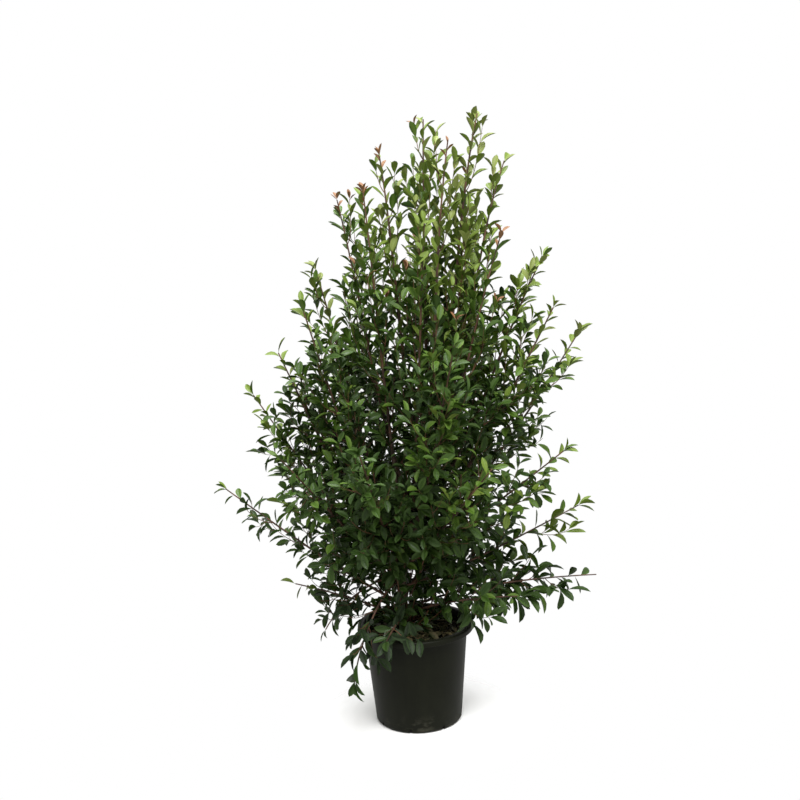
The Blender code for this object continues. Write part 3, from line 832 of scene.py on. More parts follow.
class Space:
    """Tells which shoot is the nearest to a point."""

    def __init__(self, shoots):
        self.tree = KDTree((PATH_STEPS + 1) * len(shoots))
        self.owners = []
        for shoot in shoots:
            for step in range(PATH_STEPS + 1):
                distance = shoot.fork + (shoot.path.length - shoot.fork) * step / PATH_STEPS
                self.tree.insert(shoot.path.point(distance), len(self.owners))
                self.owners.append(shoot.seed)
        self.tree.balance()

    def holds(self, points, owner):
        for point in points:
            _, index, _ = self.tree.find(point)
            if self.owners[index] != owner or not clear_of_pot(point):
                return False
        return True


space = Space(SHOOTS)
print("points in the space:", len(space.owners))

# %% [markdown]
# ### Twigs and leaves
#
# Buds follow the golden angle round a stem, so that no leaf sits right over the last.
# The same rule places side twigs on a shoot, finer twigs on those, and leaves on all of
# them. Twigs leave at an open angle and then bend up to the light, and one that would
# leave its shoot's space is tried shorter.

# %% Rule for side twigs
TWIG_TAPER = 0.45
TWIG_RISE = 0.20
TWIG_LIFT = 0.9
TWIG_CUTS = (1.0, 0.85, 0.7, 0.55)
TWIG_SHORTEST = 0.045
TWIG_STEPS = 8
LEAFY_END = 0.091
MAIN_TWIGS = {"trailing": 3}
MAIN_TWIGS_OF_MOST = 4
BETWEEN_SEED = 500

# Shorter twigs between two main ones, by tier. Some tiers and shoots bear only a share of
# them, and three long thin shoots bear none past a share of their length.
BETWEEN = {"leader": 2, "upper": 1, "middle": 3, "lower": 4, "skirt": 3, "trailing": 2}
FULLNESS = {
    "leader": 0.25, "upper": 0.6, "middle_5": 0.6, "lower_2": 0.7, "lower_5": 0.6,
    "lower_10": 0.6, "skirt_2": 0.0, "skirt_3": 0.3, "trailing": 0.6}
THIN_ENDS = {"skirt_5": 0.85, "lower_1": 0.4, "lower_5": 0.5}


def turned_about(axis, angle):
    """Unit vector square to an axis, at an angle round it."""
    side = axis.cross(UP)
    if side.length < 0.1:
        side = axis.cross(Vector((1.0, 0.0, 0.0)))
    side.normalize()
    return Matrix.Rotation(angle, 3, axis) @ side


def twig_path(base, heading, turn, length, spread, lift):
    """A twig that leaves its stem at an angle and bends up towards the light."""
    side = turned_about(heading, turn)
    spread = math.radians(spread)
    along = heading * math.cos(spread) + side * math.sin(spread)
    tip = base + (along + UP * TWIG_RISE).normalized() * length
    out = (along + side * 0.5).normalized() * min(length * 0.3, 0.06)
    back = (along + UP * lift).normalized() * length * 0.38
    return bezier(base, base + out, tip - back, tip, TWIG_STEPS)


def fullness(shoot):
    """Share of the finer twigs that a shoot bears."""
    return FULLNESS.get(shoot.name, FULLNESS.get(shoot.tier.name, 1.0))


def side_twigs(shoot):
    """Side twigs of a shoot: the main ones, and shorter ones between them."""
    rng = random.Random(shoot.seed)
    tier = shoot.tier
    span_length = shoot.path.length - shoot.fork - LEAFY_END
    main = MAIN_TWIGS.get(tier.name, MAIN_TWIGS_OF_MOST)
    turn = rng.uniform(0.0, math.tau)
    extra = random.Random(BETWEEN_SEED + shoot.seed)
    pitch = BETWEEN[tier.name] + 1
    steps = (main - 1) * pitch
    for number in range(steps + 1):
        share = number / steps
        along = tier.span[0] + (tier.span[1] - tier.span[0]) * share
        distance = shoot.fork + span_length * along
        length = tier.reach * (1.0 - TWIG_TAPER * share)
        length = min(length, 0.8 * (shoot.path.length - distance))
        if number % pitch == 0:
            length *= 1.0 + rng.uniform(-0.10, 0.10)
            turn += GOLDEN_ANGLE + rng.uniform(-0.25, 0.25)
            angle = turn
        else:
            length *= extra.uniform(0.65, 1.1)
            angle = turn + GOLDEN_ANGLE * (number % pitch) + extra.uniform(-0.4, 0.4)
            if extra.random() > fullness(shoot) or share > THIN_ENDS.get(shoot.name, 1.0):
                continue
        base = shoot.path.point(distance)
        heading = shoot.path.heading(distance)
        for cut in TWIG_CUTS:
            path = twig_path(base, heading, angle, length * cut, tier.spread, TWIG_LIFT)
            if length * cut > TWIG_SHORTEST and space.holds(path.points[3:], shoot.seed):
                yield path
                break


print("side twigs:", sum(len(list(side_twigs(shoot))) for shoot in SHOOTS))

# %% [markdown]
# #### Twigs that fill the crown
#
# Four more kinds make the crown as dense as a clipped nursery plant: finer twigs on the
# side twigs, upright ones that rise beside the tips of the high shoots, short ones round
# the trunk where little light comes, and slender ones off the trunk itself, which come
# with leafy sprouts at its foot.

# %% Finer twigs on a side twig
FINE_PITCH = 0.055
FINE_MOST = 4
FINE_FROM = 0.28
FINE_SPAN = 0.50
FINE_LONGEST = 0.22
FINE_LENGTHS = (0.32, 0.55)
FINE_SHORTEST = 0.8 * TWIG_SHORTEST
FINE_SPREAD = 42
FINE_LIFT = 0.7


def fine_twigs(path, shoot, rng):
    """Finer twigs on a side twig."""
    count = round(min(int(path.length / FINE_PITCH), FINE_MOST) * fullness(shoot))
    turn = rng.uniform(0.0, math.tau)
    spread = 0.5 * (shoot.tier.spread + FINE_SPREAD)
    for number in range(count):
        distance = path.length * (FINE_FROM + FINE_SPAN * number / max(count - 1, 1))
        turn += GOLDEN_ANGLE + rng.uniform(-0.3, 0.3)
        length = min(path.length, FINE_LONGEST) * rng.uniform(*FINE_LENGTHS)
        base, heading = path.point(distance), path.heading(distance)
        made = twig_path(base, heading, turn, length, spread, FINE_LIFT)
        if length > FINE_SHORTEST and space.holds(made.points[4:], shoot.seed):
            yield made


print("longest finer twig:", round(FINE_LONGEST * FINE_LENGTHS[1], 3), "m")

# %% Upright twigs beside the tips
TOP_SEED = 200
TOP_TWIGS = {"leader": (0.68, 0.80), "upper": (0.76,)}
TOP_LENGTHS = (0.62, 0.85)
TOP_SPREAD = 17.0
TOP_LIFT = 1.0


def top_twigs(shoot):
    """Upright twigs near the tip, which rise beside it."""
    rng = random.Random(TOP_SEED + shoot.seed)
    turn = rng.uniform(0.0, math.tau)
    for share in TOP_TWIGS.get(shoot.tier.name, ()):
        distance = shoot.fork + (shoot.path.length - shoot.fork) * share
        length = (shoot.path.length - distance) * rng.uniform(*TOP_LENGTHS)
        turn += GOLDEN_ANGLE
        base, heading = shoot.path.point(distance), shoot.path.heading(distance)
        path = twig_path(base, heading, turn, length, TOP_SPREAD, TOP_LIFT)
        if space.holds(path.points[4:], shoot.seed):
            yield path


print("upright twigs:", sum(len(list(top_twigs(shoot))) for shoot in SHOOTS))

# %% Short twigs round the trunk
INNER_SEED = 300
INNER_TWIGS = {"leader": 14, "upper": 12, "middle": 9, "lower": 7}
INNER_FROM = 0.25
INNER_SPAN = {"leader": 1.45, "upper": 1.25, "middle": 0.95, "lower": 0.75}
INNER_SHARE = 0.36
INNER_LENGTHS = (0.08, 0.15)
INNER_SPREAD = 50.0
INNER_LIFT = 0.8


def inner_twigs(shoot):
    """Short twigs on the part of a shoot near the trunk, where less light comes."""
    rng = random.Random(INNER_SEED + shoot.seed)
    turn = rng.uniform(0.0, math.tau)
    inner = shoot.fork or shoot.path.length * INNER_SHARE
    count = INNER_TWIGS.get(shoot.tier.name, 0)
    for number in range(count):
        distance = inner * (INNER_FROM + INNER_SPAN[shoot.tier.name] * number / count)
        turn += GOLDEN_ANGLE + rng.uniform(-0.4, 0.4)
        length = rng.uniform(*INNER_LENGTHS)
        base, heading = shoot.path.point(distance), shoot.path.heading(distance)
        path = twig_path(base, heading, turn, length, INNER_SPREAD, INNER_LIFT)
        if all(clear_of_pot(point) for point in path.points):
            yield path


print("short twigs:", sum(len(list(inner_twigs(shoot))) for shoot in SHOOTS))

# %% Basal twigs and sprouts
BASAL_SEED = 77
BASAL_FOOT = 0.318
BASAL_RISE = 0.34
BASAL_TWIGS = 20
BASAL_LEANS = (16.0, 40.0)
BASAL_LENGTHS = (0.12, 0.34)
SPROUTS = 24
SPROUT_LEANS = (28.0, 62.0)
SPROUT_LENGTHS = (0.09, 0.20)


def basal_twigs():
    """Spreading sprouts at the trunk's foot, then twigs that rise steeply off the trunk."""
    rng = random.Random(BASAL_SEED)
    turn = rng.uniform(0.0, math.tau)
    for number in range(SPROUTS + BASAL_TWIGS):
        sprout = number < SPROUTS
        turn += GOLDEN_ANGLE
        base = trunk_axis(BASAL_FOOT + BASAL_RISE * max(0, number - SPROUTS) / BASAL_TWIGS)
        side = Vector((math.cos(turn), math.sin(turn), 0.0))
        lean = math.radians(rng.uniform(*(SPROUT_LEANS if sprout else BASAL_LEANS)))
        length = rng.uniform(*(SPROUT_LENGTHS if sprout else BASAL_LENGTHS))
        tip = base + leaning(side, lean) * length
        path = bezier(
            base, base + leaning(side, lean * 1.6) * length * 0.35,
            tip - leaning(side, lean * 0.6) * length * 0.3, tip, TWIG_STEPS)
        if all(clear_of_pot(point) for point in path.points):
            yield path


print("basal twigs and sprouts:", len(list(basal_twigs())))

# %% [markdown]
# ### Leaves, and the greens they are dealt
#
# A real crown isn't one green. Old leaves are darker and the newest at the tips are lime
# or bronze. On top of that, painted shade deals darker greens to leaves inside the crown,
# on the low tiers and on some shoots, down to nearly black, while outer ones are mid
# green and high ones lighter. Each spray gets a shade by its tier, its height, how far
# out it sits and chance. Each leaf is dealt one plain colour by its spray's shade, the
# newest on a twig the next lighter one. Plain colours survive export, where a pattern
# would slide.

# %% Shade and tint
CROWN = (
    # height, radius of the crown's surface
    (0.2, 0.36), (0.5, 0.44), (0.8, 0.54), (1.2, 0.52), (1.5, 0.40), (1.8, 0.27), (2.1, 0.12))
CROWN_AXIS = 0.02
# Painted shade and light for single shoots: below zero a shoot is dealt darker greens, above zero
# lighter ones.
SHADE_SHIFT = {
    "upper_4": 0.08, "upper_6": 0.08, "middle_2": -0.04, "middle_5": 0.09, "middle_6": 0.09,
    "middle_7": 0.09, "lower_1": -0.18, "lower_7": -0.14, "lower_8": -0.16, "skirt_1": -0.10,
    "skirt_2": -0.62, "skirt_5": -0.22, "trailing_1": -0.34, "trailing_2": -0.22}
SHADED_BELOW = 1.75
SHADED_OVER = 0.5
INNER_SHADE = 0.55
LIT_FROM = 0.85
YOUTH_LIFT = 0.24
SHADE_CHANCE = 0.11
NEWEST_LIFT = 0.30
TINT_LIMITS = (("old", -0.16), ("deep", 0.30), ("dark", 0.47), ("mid", 0.70), ("fresh", 1.04))
LIGHTEST = "lime"


def outwardness(place):
    """0 on the crown's axis and 1 at its surface."""
    heights, radii = zip(*CROWN)
    return math.hypot(place.x - CROWN_AXIS, place.y) / float(np.interp(place.z, heights, radii))


def spray_tint(shoot, place, youth, rng):
    """How light a spray's green is, from about 0 for old leaves in painted shade to 1 for the
    newest.
    """
    # Painted shade: below the crown's top, sprays inside its surface get darker greens and those
    # outside it lighter ones.
    shaded = min(max((SHADED_BELOW - place.z) / SHADED_OVER, 0.0), 1.0)
    inner = shaded * INNER_SHADE * (min(outwardness(place), 1.1) - LIT_FROM)
    base = shoot.tier.shade + SHADE_SHIFT.get(shoot.name, 0.0)
    return base + YOUTH_LIFT * (youth - 0.5) + inner + rng.gauss(0.0, SHADE_CHANCE)


def pick_tint(shade, along):
    """Tint for a shade, lifted near the twig's tip, where along goes from 0.6 to 1."""
    shade += NEWEST_LIFT * shade * max(0.0, along - 0.6) / 0.4
    for tint, limit in TINT_LIMITS:
        if shade < limit:
            return tint
    return LIGHTEST


print("tints:", [tint for tint, _ in TINT_LIMITS] + [LIGHTEST])

# %% Rule for leaves
LEAF_SIZES = (0.80, 1.18)
LEAF_ROLL = 0.55
LEAF_CHANCE = 0.08
TIP_LENGTH = 0.020
TIP_STAND = (12, 40)
TIP_LEAF_GAP = 0.004
NEWEST = 0.50
BROAD_SHAPES = (0, 1, 2, 3, 4)
NARROW_SHAPES = (5, 6, 7)
NARROW_SHARE = {"leader": 0.4, "upper": 0.4, "middle": 0.3}
NARROW_SHARE_OF_MOST = 0.2
BRONZE_FROM = 0.93
BRONZE_SIZE = 0.72

# How many times as long the spacing of the leaves is, and the leaves themselves.
SPARSE = {
    "lower_1": 1.6, "lower_5": 1.15, "lower_9": 1.15, "skirt_1": 1.7, "skirt_2": 1.45,
    "skirt_4": 1.3, "skirt_5": 1.15, "trailing_1": 1.5, "trailing_2": 2.0}
LARGER = {"lower_5": 1.2, "skirt_1": 0.85, "skirt_5": 1.22, "trailing_2": 0.85}
Leaf = namedtuple("Leaf", "base facing length shape tint")


def leaf_frame(heading, turn, opening, sag, roll):
    """Direction and upper face of a leaf that stands off its twig."""
    side = turned_about(heading, turn)
    along = heading * math.cos(opening) + side * math.sin(opening)
    along = (along - UP * sag * math.sin(opening)).normalized()
    face = heading + UP * 0.6
    face = (face - along * face.dot(along)).normalized()
    return along, Matrix.Rotation(roll, 3, along) @ face


def leaf_quaternion(along, face):
    side = face.cross(along)
    return Matrix((along, side, face)).transposed().to_quaternion()


def grow_leaves(path, start, shoot, shade, rng, crowd=0, bronze=False):
    """Leaves along a path from start to its tip, where a crowd of extra ones may sit.

    A negative crowd leaves that much of the tip bare.
    """
    found = []
    turn = rng.uniform(0.0, math.tau)
    large = shoot.tier.leaf[0] * LARGER.get(shoot.name, 1.0)
    spacing = shoot.tier.leaf[1] * SPARSE.get(shoot.name, 1.0)
    lightest = shoot.tier.shade + NEWEST
    distance = start
    end = path.length + crowd * TIP_LEAF_GAP
    while distance < end:
        share = min(distance / path.length, 1.0)
        turn += GOLDEN_ANGLE + rng.uniform(-0.3, 0.3)
        heading = path.heading(distance)
        near_tip = distance > path.length - TIP_LENGTH
        opening = math.radians(rng.uniform(*(TIP_STAND if near_tip else shoot.tier.stand)))
        sag = shoot.tier.sag * rng.uniform(0.5, 1.5)
        along, face = leaf_frame(heading, turn, opening, sag, rng.uniform(-LEAF_ROLL, LEAF_ROLL))
        size = large * rng.uniform(*LEAF_SIZES) * (1.0 - 0.5 * max(0.0, share - 0.75))
        base = path.point(distance)
        tint = pick_tint(min(shade + rng.gauss(0.0, LEAF_CHANCE), lightest), share)
        if bronze and share > BRONZE_FROM:
            tint = "bronze"
            size *= BRONZE_SIZE
        narrow = rng.random() < NARROW_SHARE.get(shoot.tier.name, NARROW_SHARE_OF_MOST)
        shape = rng.choice(NARROW_SHAPES if narrow else BROAD_SHAPES)
        if clear_of_pot(base + along * size * 0.5) and clear_of_pot(base + along * size):
            found.append(Leaf(base, leaf_quaternion(along, face), size, shape, tint))
        at_tip = distance > path.length - 0.5 * TIP_LENGTH
        distance += TIP_LEAF_GAP if at_tip else spacing * rng.uniform(0.85, 1.15)
    return found


print("spacing of leaves:", [tier.leaf[1] for tier in TIERS])

# %% Wood and leaves of one twig or stem
TWIG_RADII = (0.0016, 0.0008)
FINE_RADII = (0.0010, 0.0006)
BASAL_RADII = (0.0026, 0.0012)
STEM_END = 0.025
STEM_PITCH = 0.018
YOUTH_AT_TIP = 0.9
BRONZE_SHOOTS = ("leader_1", "leader_5", "upper_2", "upper_3", "upper_7")

# Extra leaves at the tip. Below zero, a stretch as long as theirs stays bare instead.
STEM_CROWDS = {"leader_3": -1, "leader_6": -3, "lower_1": 0, "lower_6": -4, "skirt_5": -11}
STEM_CROWD_OF_MOST = 2

Wood = namedtuple("Wood", "path radii")
stems = []
twigs = []
leaves = []


def add_twig(path, radii, start, shoot, shade, rng, crowd=0, bronze=False):
    """Keeps a twig's wood, and the leaves that it bears from start on."""
    twigs.append(Wood(path, np.linspace(*radii, TWIG_STEPS + 1)))
    leaves.extend(grow_leaves(path, start, shoot, shade, rng, crowd, bronze))


def add_stem(shoot, rng):
    """Keeps the wood of a shoot's leafy part, and the leaves that it bears itself."""
    tip = shoot.path.length - STEM_END
    count = max(2, int((tip - shoot.fork) / STEM_PITCH))
    marks = [shoot.fork + (tip - shoot.fork) * k / count for k in range(count + 1)]
    line = Path([shoot.path.point(mark) for mark in marks])
    stems.append(Wood(line, [shoot.radius(mark) for mark in marks]))
    shade = spray_tint(shoot, shoot.path.points[-1], YOUTH_AT_TIP, rng)
    bare = line.length * shoot.tier.span[0]
    crowd = STEM_CROWDS.get(shoot.name, STEM_CROWD_OF_MOST)
    bronze = shoot.name in BRONZE_SHOOTS
    leaves.extend(grow_leaves(line, bare, shoot, shade, rng, crowd, bronze))


print("twigs are", 2000 * TWIG_RADII[0], "mm thick where they start")

# %% Grow the whole crown
LEAF_SEED = 900
TWIG_BARE = 0.020
TWIG_CROWD = 1
FINE_BARE = 0.014
TOP_BARE = 0.030
# Painted shade: leaves on the short twigs round the trunk get dark greens.
INNER_SHADES = (0.05, 0.40)
BRONZE_SEED = 41
BRONZE_TWIGS = {"leader": 0.14, "upper": 0.14}
BASAL_LEAF_SEED = 78
BASAL_BARE = (0.12, 0.35)
# Painted shade: leaves on the basal twigs and sprouts get dark greens.
BASAL_SHADES = (0.05, 0.35)
chance = random.Random(BRONZE_SEED)


def turns_bronze(shoot):
    """True for the few twigs whose newest leaves are bronze."""
    return chance.random() < BRONZE_TWIGS.get(shoot.tier.name, 0.0)


for shoot in SHOOTS:
    rng = random.Random(LEAF_SEED + shoot.seed)
    add_stem(shoot, rng)
    foot, tip = shoot.path.points[0].z, shoot.path.points[-1].z
    for path in inner_twigs(shoot):
        add_twig(path, TWIG_RADII, TWIG_BARE, shoot, rng.uniform(*INNER_SHADES), rng)
    for path in side_twigs(shoot):
        youth = (path.points[0].z - foot) / max(0.1, tip - foot)
        shade = spray_tint(shoot, path.points[-1], youth, rng)
        bronze = turns_bronze(shoot)
        add_twig(path, TWIG_RADII, TWIG_BARE, shoot, shade, rng, TWIG_CROWD, bronze)
        for fine in fine_twigs(path, shoot, rng):
            add_twig(fine, FINE_RADII, FINE_BARE, shoot, shade, rng)
    for path in top_twigs(shoot):
        shade = spray_tint(shoot, path.points[-1], YOUTH_AT_TIP, rng)
        bronze = turns_bronze(shoot)
        add_twig(path, TWIG_RADII, TOP_BARE, shoot, shade, rng, TWIG_CROWD, bronze)

rng = random.Random(BASAL_LEAF_SEED)
low_shoot = next(shoot for shoot in SHOOTS if shoot.tier.name == "lower")
for path in basal_twigs():
    start = path.length * rng.uniform(*BASAL_BARE)
    add_twig(path, BASAL_RADII, start, low_shoot, rng.uniform(*BASAL_SHADES), rng)
print("stems:", len(stems), "twigs:", len(twigs), "leaves:", len(leaves))

# %% [markdown]
# ## Wood
#
# All the wood is swept from lines. Each line is a row of vertices with its radius kept
# as an attribute, and one Geometry Nodes tree turns the lines to curves and sweeps a
# circle along them. The thick limbs use a second tree, which also pushes the surface in
# and out by stretched noise, so that the bark has real ridges.

# %% Trees that sweep the wood
RIDGE_STRETCH = (1.0, 1.0, 0.28)
RIDGE_DETAIL = 4.0


def line_mesh(woods):
    """Loose lines in one mesh, with the radius at each point."""
    vertices, edges, radii = [], [], []
    for wood in woods:
        first = len(vertices)
        vertices += wood.path.points
        radii += list(wood.radii)
        edges += [(first + k, first + k + 1) for k in range(len(wood.path.points) - 1)]
    mesh = bpy.data.meshes.new("lines")
    mesh.from_pydata(vertices, edges, [])
    mesh.attributes.new("thickness", "FLOAT", "POINT").data.foreach_set("value", radii)
    return mesh


def sweep_recipe():
    """Smooth round wood along lines."""
    tree = Recipe("sweep_twigs")
    sides = tree.ask("Sides", "NodeSocketInt")
    material = tree.ask("Material", "NodeSocketMaterial")
    curve = tree.node("GeometryNodeMeshToCurve", {}, {"Mesh": tree.geometry})
    circle = tree.node("GeometryNodeCurvePrimitiveCircle", {}, {"Resolution": sides, "Radius": 1.0})
    swept = tree.node(
        "GeometryNodeCurveToMesh", {},
        {"Curve": curve, "Profile Curve": circle,
         "Scale": tree.attribute("thickness", "FLOAT"), "Fill Caps": True})
    smooth = tree.node("GeometryNodeSetShadeSmooth", {}, {"Geometry": swept})
    tree.finish(smooth, material)
    return tree


def bark_recipe():
    """Round wood along lines, with ridges that run the same way."""
    tree = Recipe("sweep_bark")
    sides = tree.ask("Sides", "NodeSocketInt")
    step = tree.ask("Step", "NodeSocketFloat")
    depth = tree.ask("Ridge Depth", "NodeSocketFloat")
    scale = tree.ask("Ridge Scale", "NodeSocketFloat")
    material = tree.ask("Material", "NodeSocketMaterial")
    curve = tree.node("GeometryNodeMeshToCurve", {}, {"Mesh": tree.geometry})
    even = tree.node(
        "GeometryNodeResampleCurve", {"mode": "LENGTH"}, {"Curve": curve, "Length": step})
    circle = tree.node("GeometryNodeCurvePrimitiveCircle", {}, {"Resolution": sides, "Radius": 1.0})
    thick = tree.attribute("thickness", "FLOAT")
    swept = tree.node(
        "GeometryNodeCurveToMesh", {},
        {"Curve": even, "Profile Curve": circle, "Scale": thick, "Fill Caps": True})
    place = tree.node("GeometryNodeInputPosition", {}, {})
    stretched = tree.node(
        "ShaderNodeVectorMath", {"operation": "MULTIPLY"}, {0: place, 1: RIDGE_STRETCH})
    ridges = tree.node(
        "ShaderNodeTexNoise", {}, {"Vector": stretched, "Scale": scale, "Detail": RIDGE_DETAIL})
    centred = tree.node("ShaderNodeMath", {"operation": "SUBTRACT"}, {0: ridges, 1: 0.5})
    height = tree.node("ShaderNodeMath", {"operation": "MULTIPLY"}, {0: centred, 1: depth})
    amount = tree.node("ShaderNodeMath", {"operation": "MULTIPLY"}, {0: height, 1: thick})
    normal = tree.node("GeometryNodeInputNormal", {}, {})
    push = tree.node("ShaderNodeVectorMath", {"operation": "SCALE"}, {0: normal, "Scale": amount})
    pushed = tree.node("GeometryNodeSetPosition", {}, {"Geometry": swept, "Offset": push})
    smooth = tree.node("GeometryNodeSetShadeSmooth", {}, {"Geometry": pushed})
    tree.finish(smooth, material)
    return tree


sweep = sweep_recipe()
sweep_bark = bark_recipe()
print("wood trees:", sweep.tree.name, sweep_bark.tree.name)

# %% Bark and young wood
BARK_CRACK = (0.018, 0.011, 0.008, 1.0)
BARK_RIDGE = (0.105, 0.066, 0.043, 1.0)
BARK_PATCH = (0.120, 0.100, 0.074, 1.0)
STEM_SHADES = ((0.035, 0.018, 0.012, 1.0), (0.115, 0.055, 0.032, 1.0))
TWIG_SHADES = ((0.060, 0.020, 0.012, 1.0), (0.130, 0.062, 0.026, 1.0))


def bark():
    """Dull grey brown, with darker cracks that run along the limb."""
    paint = Paint("old_bark")
    cracks = paint.noise(paint.place((1.0, 1.0, 0.22)), 210.0, 5.0, 0.65)
    patches = paint.noise(paint.place(), 32.0, 3.0, 0.5)
    base = paint.mix(paint.ramp(cracks, 0.34, 0.62), BARK_CRACK, BARK_RIDGE)
    base = paint.mix(paint.ramp(patches, 0.45, 0.75) * 0.55, base, BARK_PATCH)
    return paint.set(
        Base_Color=base, Roughness=0.70 + cracks * 0.25,
        Normal=paint.bump(cracks, 0.8, 0.0016), Specular_IOR_Level=0.3)


def young_wood(name, dark, light):
    """Smooth thin bark, redder on one stretch than on the next."""
    paint = Paint(name)
    patches = paint.noise(paint.place(), 18.0, 2.0, 0.5)
    flecks = paint.noise(paint.place((1.0, 1.0, 0.5)), 700.0, 2.0, 0.5)
    base = paint.mix(paint.ramp(patches, 0.35, 0.68), dark, light)
    return paint.set(
        Base_Color=base, Roughness=0.46 + patches * 0.2,
        Normal=paint.bump(flecks, 0.3, 0.0004), Specular_IOR_Level=0.4)


old_bark = bark()
stem_wood = young_wood("stem_wood", *STEM_SHADES)
twig_wood = young_wood("twig_wood", *TWIG_SHADES)
print("wood finishes:", ", ".join(wood.name for wood in (old_bark, stem_wood, twig_wood)))

# %% Trunk and boughs
BOUGH_STEPS = 14
COLLAR = 0.35
COLLAR_LENGTH = 0.03


def bough_line(shoot):
    """The bare part of a shoot, swollen to a collar where it leaves the trunk."""
    marks = [shoot.fork * k / BOUGH_STEPS for k in range(BOUGH_STEPS + 1)]
    radii = [shoot.radius(mark) * (1.0 + COLLAR * math.exp(-mark / COLLAR_LENGTH))
             for mark in marks]
    return Wood(Path([shoot.path.point(mark) for mark in marks]), radii)


trunk_points = [Vector((x, y, height)) for height, x, y, _ in TRUNK_STATIONS]
trunk_line = Wood(Path(trunk_points), [radius for _, _, _, radius in TRUNK_STATIONS])
trunk_piece = sweep_bark.cook(
    line_mesh([trunk_line]), Sides=28, Step=0.004, Ridge_Depth=0.34, Ridge_Scale=150.0,
    Material=old_bark)
add_piece("trunk_bark", trunk_piece, "bark", ["trunk"])
bough_lines = [bough_line(shoot) for shoot in SHOOTS if shoot.fork > 0.0]
bough_piece = sweep_bark.cook(
    line_mesh(bough_lines), Sides=12, Step=0.007, Ridge_Depth=0.30, Ridge_Scale=220.0,
    Material=old_bark)
add_piece("bough_bark", bough_piece, "bark", BOUGH_NODES)

# %% Stems and twigs
stem_piece = sweep.cook(line_mesh(stems), Sides=8, Material=stem_wood)
add_piece("leafy_stems", stem_piece, "bark", FOLIAGE_NODES)
twig_piece = sweep.cook(line_mesh(twigs), Sides=5, Material=twig_wood)
add_piece("fine_twigs", twig_piece, "bark")

# %% [markdown]
# ## Leaf shapes
#
# A leaf is a thin closed shape: five points across its upper side and one under the rib,
# repeated along its length. It narrows to a stalk, folds up along the rib and bends down
# towards the tip. Five broad variants and three slim ones, each with its own bend, fold
# and twist, keep the crown from looking stamped. A UV map says what is rib, blade and
# underside: the upper side fills the map's top half, and the underside the bottom half.

# %% One leaf, in several bends
LEAF_ROWS = (
    # share of the length, half width
    (0.00, 0.010),
    (0.10, 0.015),
    (0.26, 0.102),
    (0.46, 0.172),
    (0.68, 0.192),
    (0.87, 0.126),
)
LEAF_ACROSS = (-1.0, -0.55, 0.0, 0.55, 1.0)
LEAF_STALK = 0.08
LEAF_THICKNESS = 0.009
LEAF_SHARP = math.radians(70.0)
UPPER_MAP = 0.75
UNDER_MAP = 0.25


def leaf_shape(name, bend, fold, twist, sway, width=1.0):
    """Leaf of unit length along +X with its upper side to +Z."""
    work = bmesh.new()
    uv = work.loops.layers.uv.new("OFBake")
    places = {}
    rows = []
    x = z = 0.0
    last = 0.0
    for share, half in LEAF_ROWS + ((1.0, 0.0),):
        slope = bend * max(0.0, share - LEAF_STALK)
        x += (share - last) * math.cos(slope)
        z -= (share - last) * math.sin(slope)
        last = share
        roll = Matrix.Rotation(twist * share, 3, "X")
        centre = Vector((x, sway * share * share, z))
        half *= width
        if half == 0.0:
            tip = work.verts.new(centre)
            places[tip] = (1.0, 0.0)
            break
        row = []
        for side in LEAF_ACROSS:
            lift = fold * half * abs(side) ** 1.3
            vertex = work.verts.new(centre + roll @ Vector((0.0, side * half, lift)))
            places[vertex] = (share, side * half)
            row.append(vertex)
        under = work.verts.new(centre + roll @ Vector((0.0, 0.0, -LEAF_THICKNESS)))
        places[under] = (share, 0.0)
        rows.append((row, under))

    def face(corners, top):
        made = work.faces.new(corners)
        made.smooth = True
        for loop in made.loops:
            along, across = places[loop.vert]
            middle = UPPER_MAP if top else UNDER_MAP
            loop[uv].uv = (0.02 + 0.96 * along, middle + across)

    for (row, under), (after, under_after) in zip(rows, rows[1:]):
        for k in range(4):
            face((row[k], after[k], after[k + 1], row[k + 1]), True)
        face((row[0], under, under_after, after[0]), False)
        face((under, row[4], after[4], under_after), False)
    row, under = rows[-1]
    for k in range(4):
        face((row[k], tip, row[k + 1]), True)
    face((row[0], under, tip), False)
    face((under, row[4], tip), False)
    row, under = rows[0]
    face((row[0], row[1], row[2], row[3], row[4], under), False)
    bmesh.ops.recalc_face_normals(work, faces=work.faces)
    for edge in work.edges:
        if len(edge.link_faces) == 2:
            edge.smooth = edge.calc_face_angle() < LEAF_SHARP
    mesh = bpy.data.meshes.new(name)
    work.to_mesh(mesh)
    work.free()
    return mesh


leaf_shapes = shape_set("leaf", [
    # bend, fold, twist, sway and width
    leaf_shape("leaf_arched", 0.50, 0.45, 0.10, 0.02),
    leaf_shape("leaf_flat", 0.15, 0.35, -0.15, -0.03),
    leaf_shape("leaf_folded", 0.35, 0.80, 0.20, 0.03),
    leaf_shape("leaf_twisted", 0.45, 0.50, 0.60, -0.02),
    leaf_shape("leaf_rolled", 0.80, 0.60, -0.30, 0.01),
    leaf_shape("leaf_slim_arched", 0.65, 0.55, 0.15, 0.02, 0.86),
    leaf_shape("leaf_slim_flat", 0.25, 0.40, -0.20, -0.02, 0.80),
    leaf_shape("leaf_slim_twisted", 0.50, 0.60, 0.50, 0.03, 0.88),
])
leaf_faces = leaf_shapes.objects[0].data.polygons
print("triangles in a leaf:", sum(len(face.vertices) - 2 for face in leaf_faces))
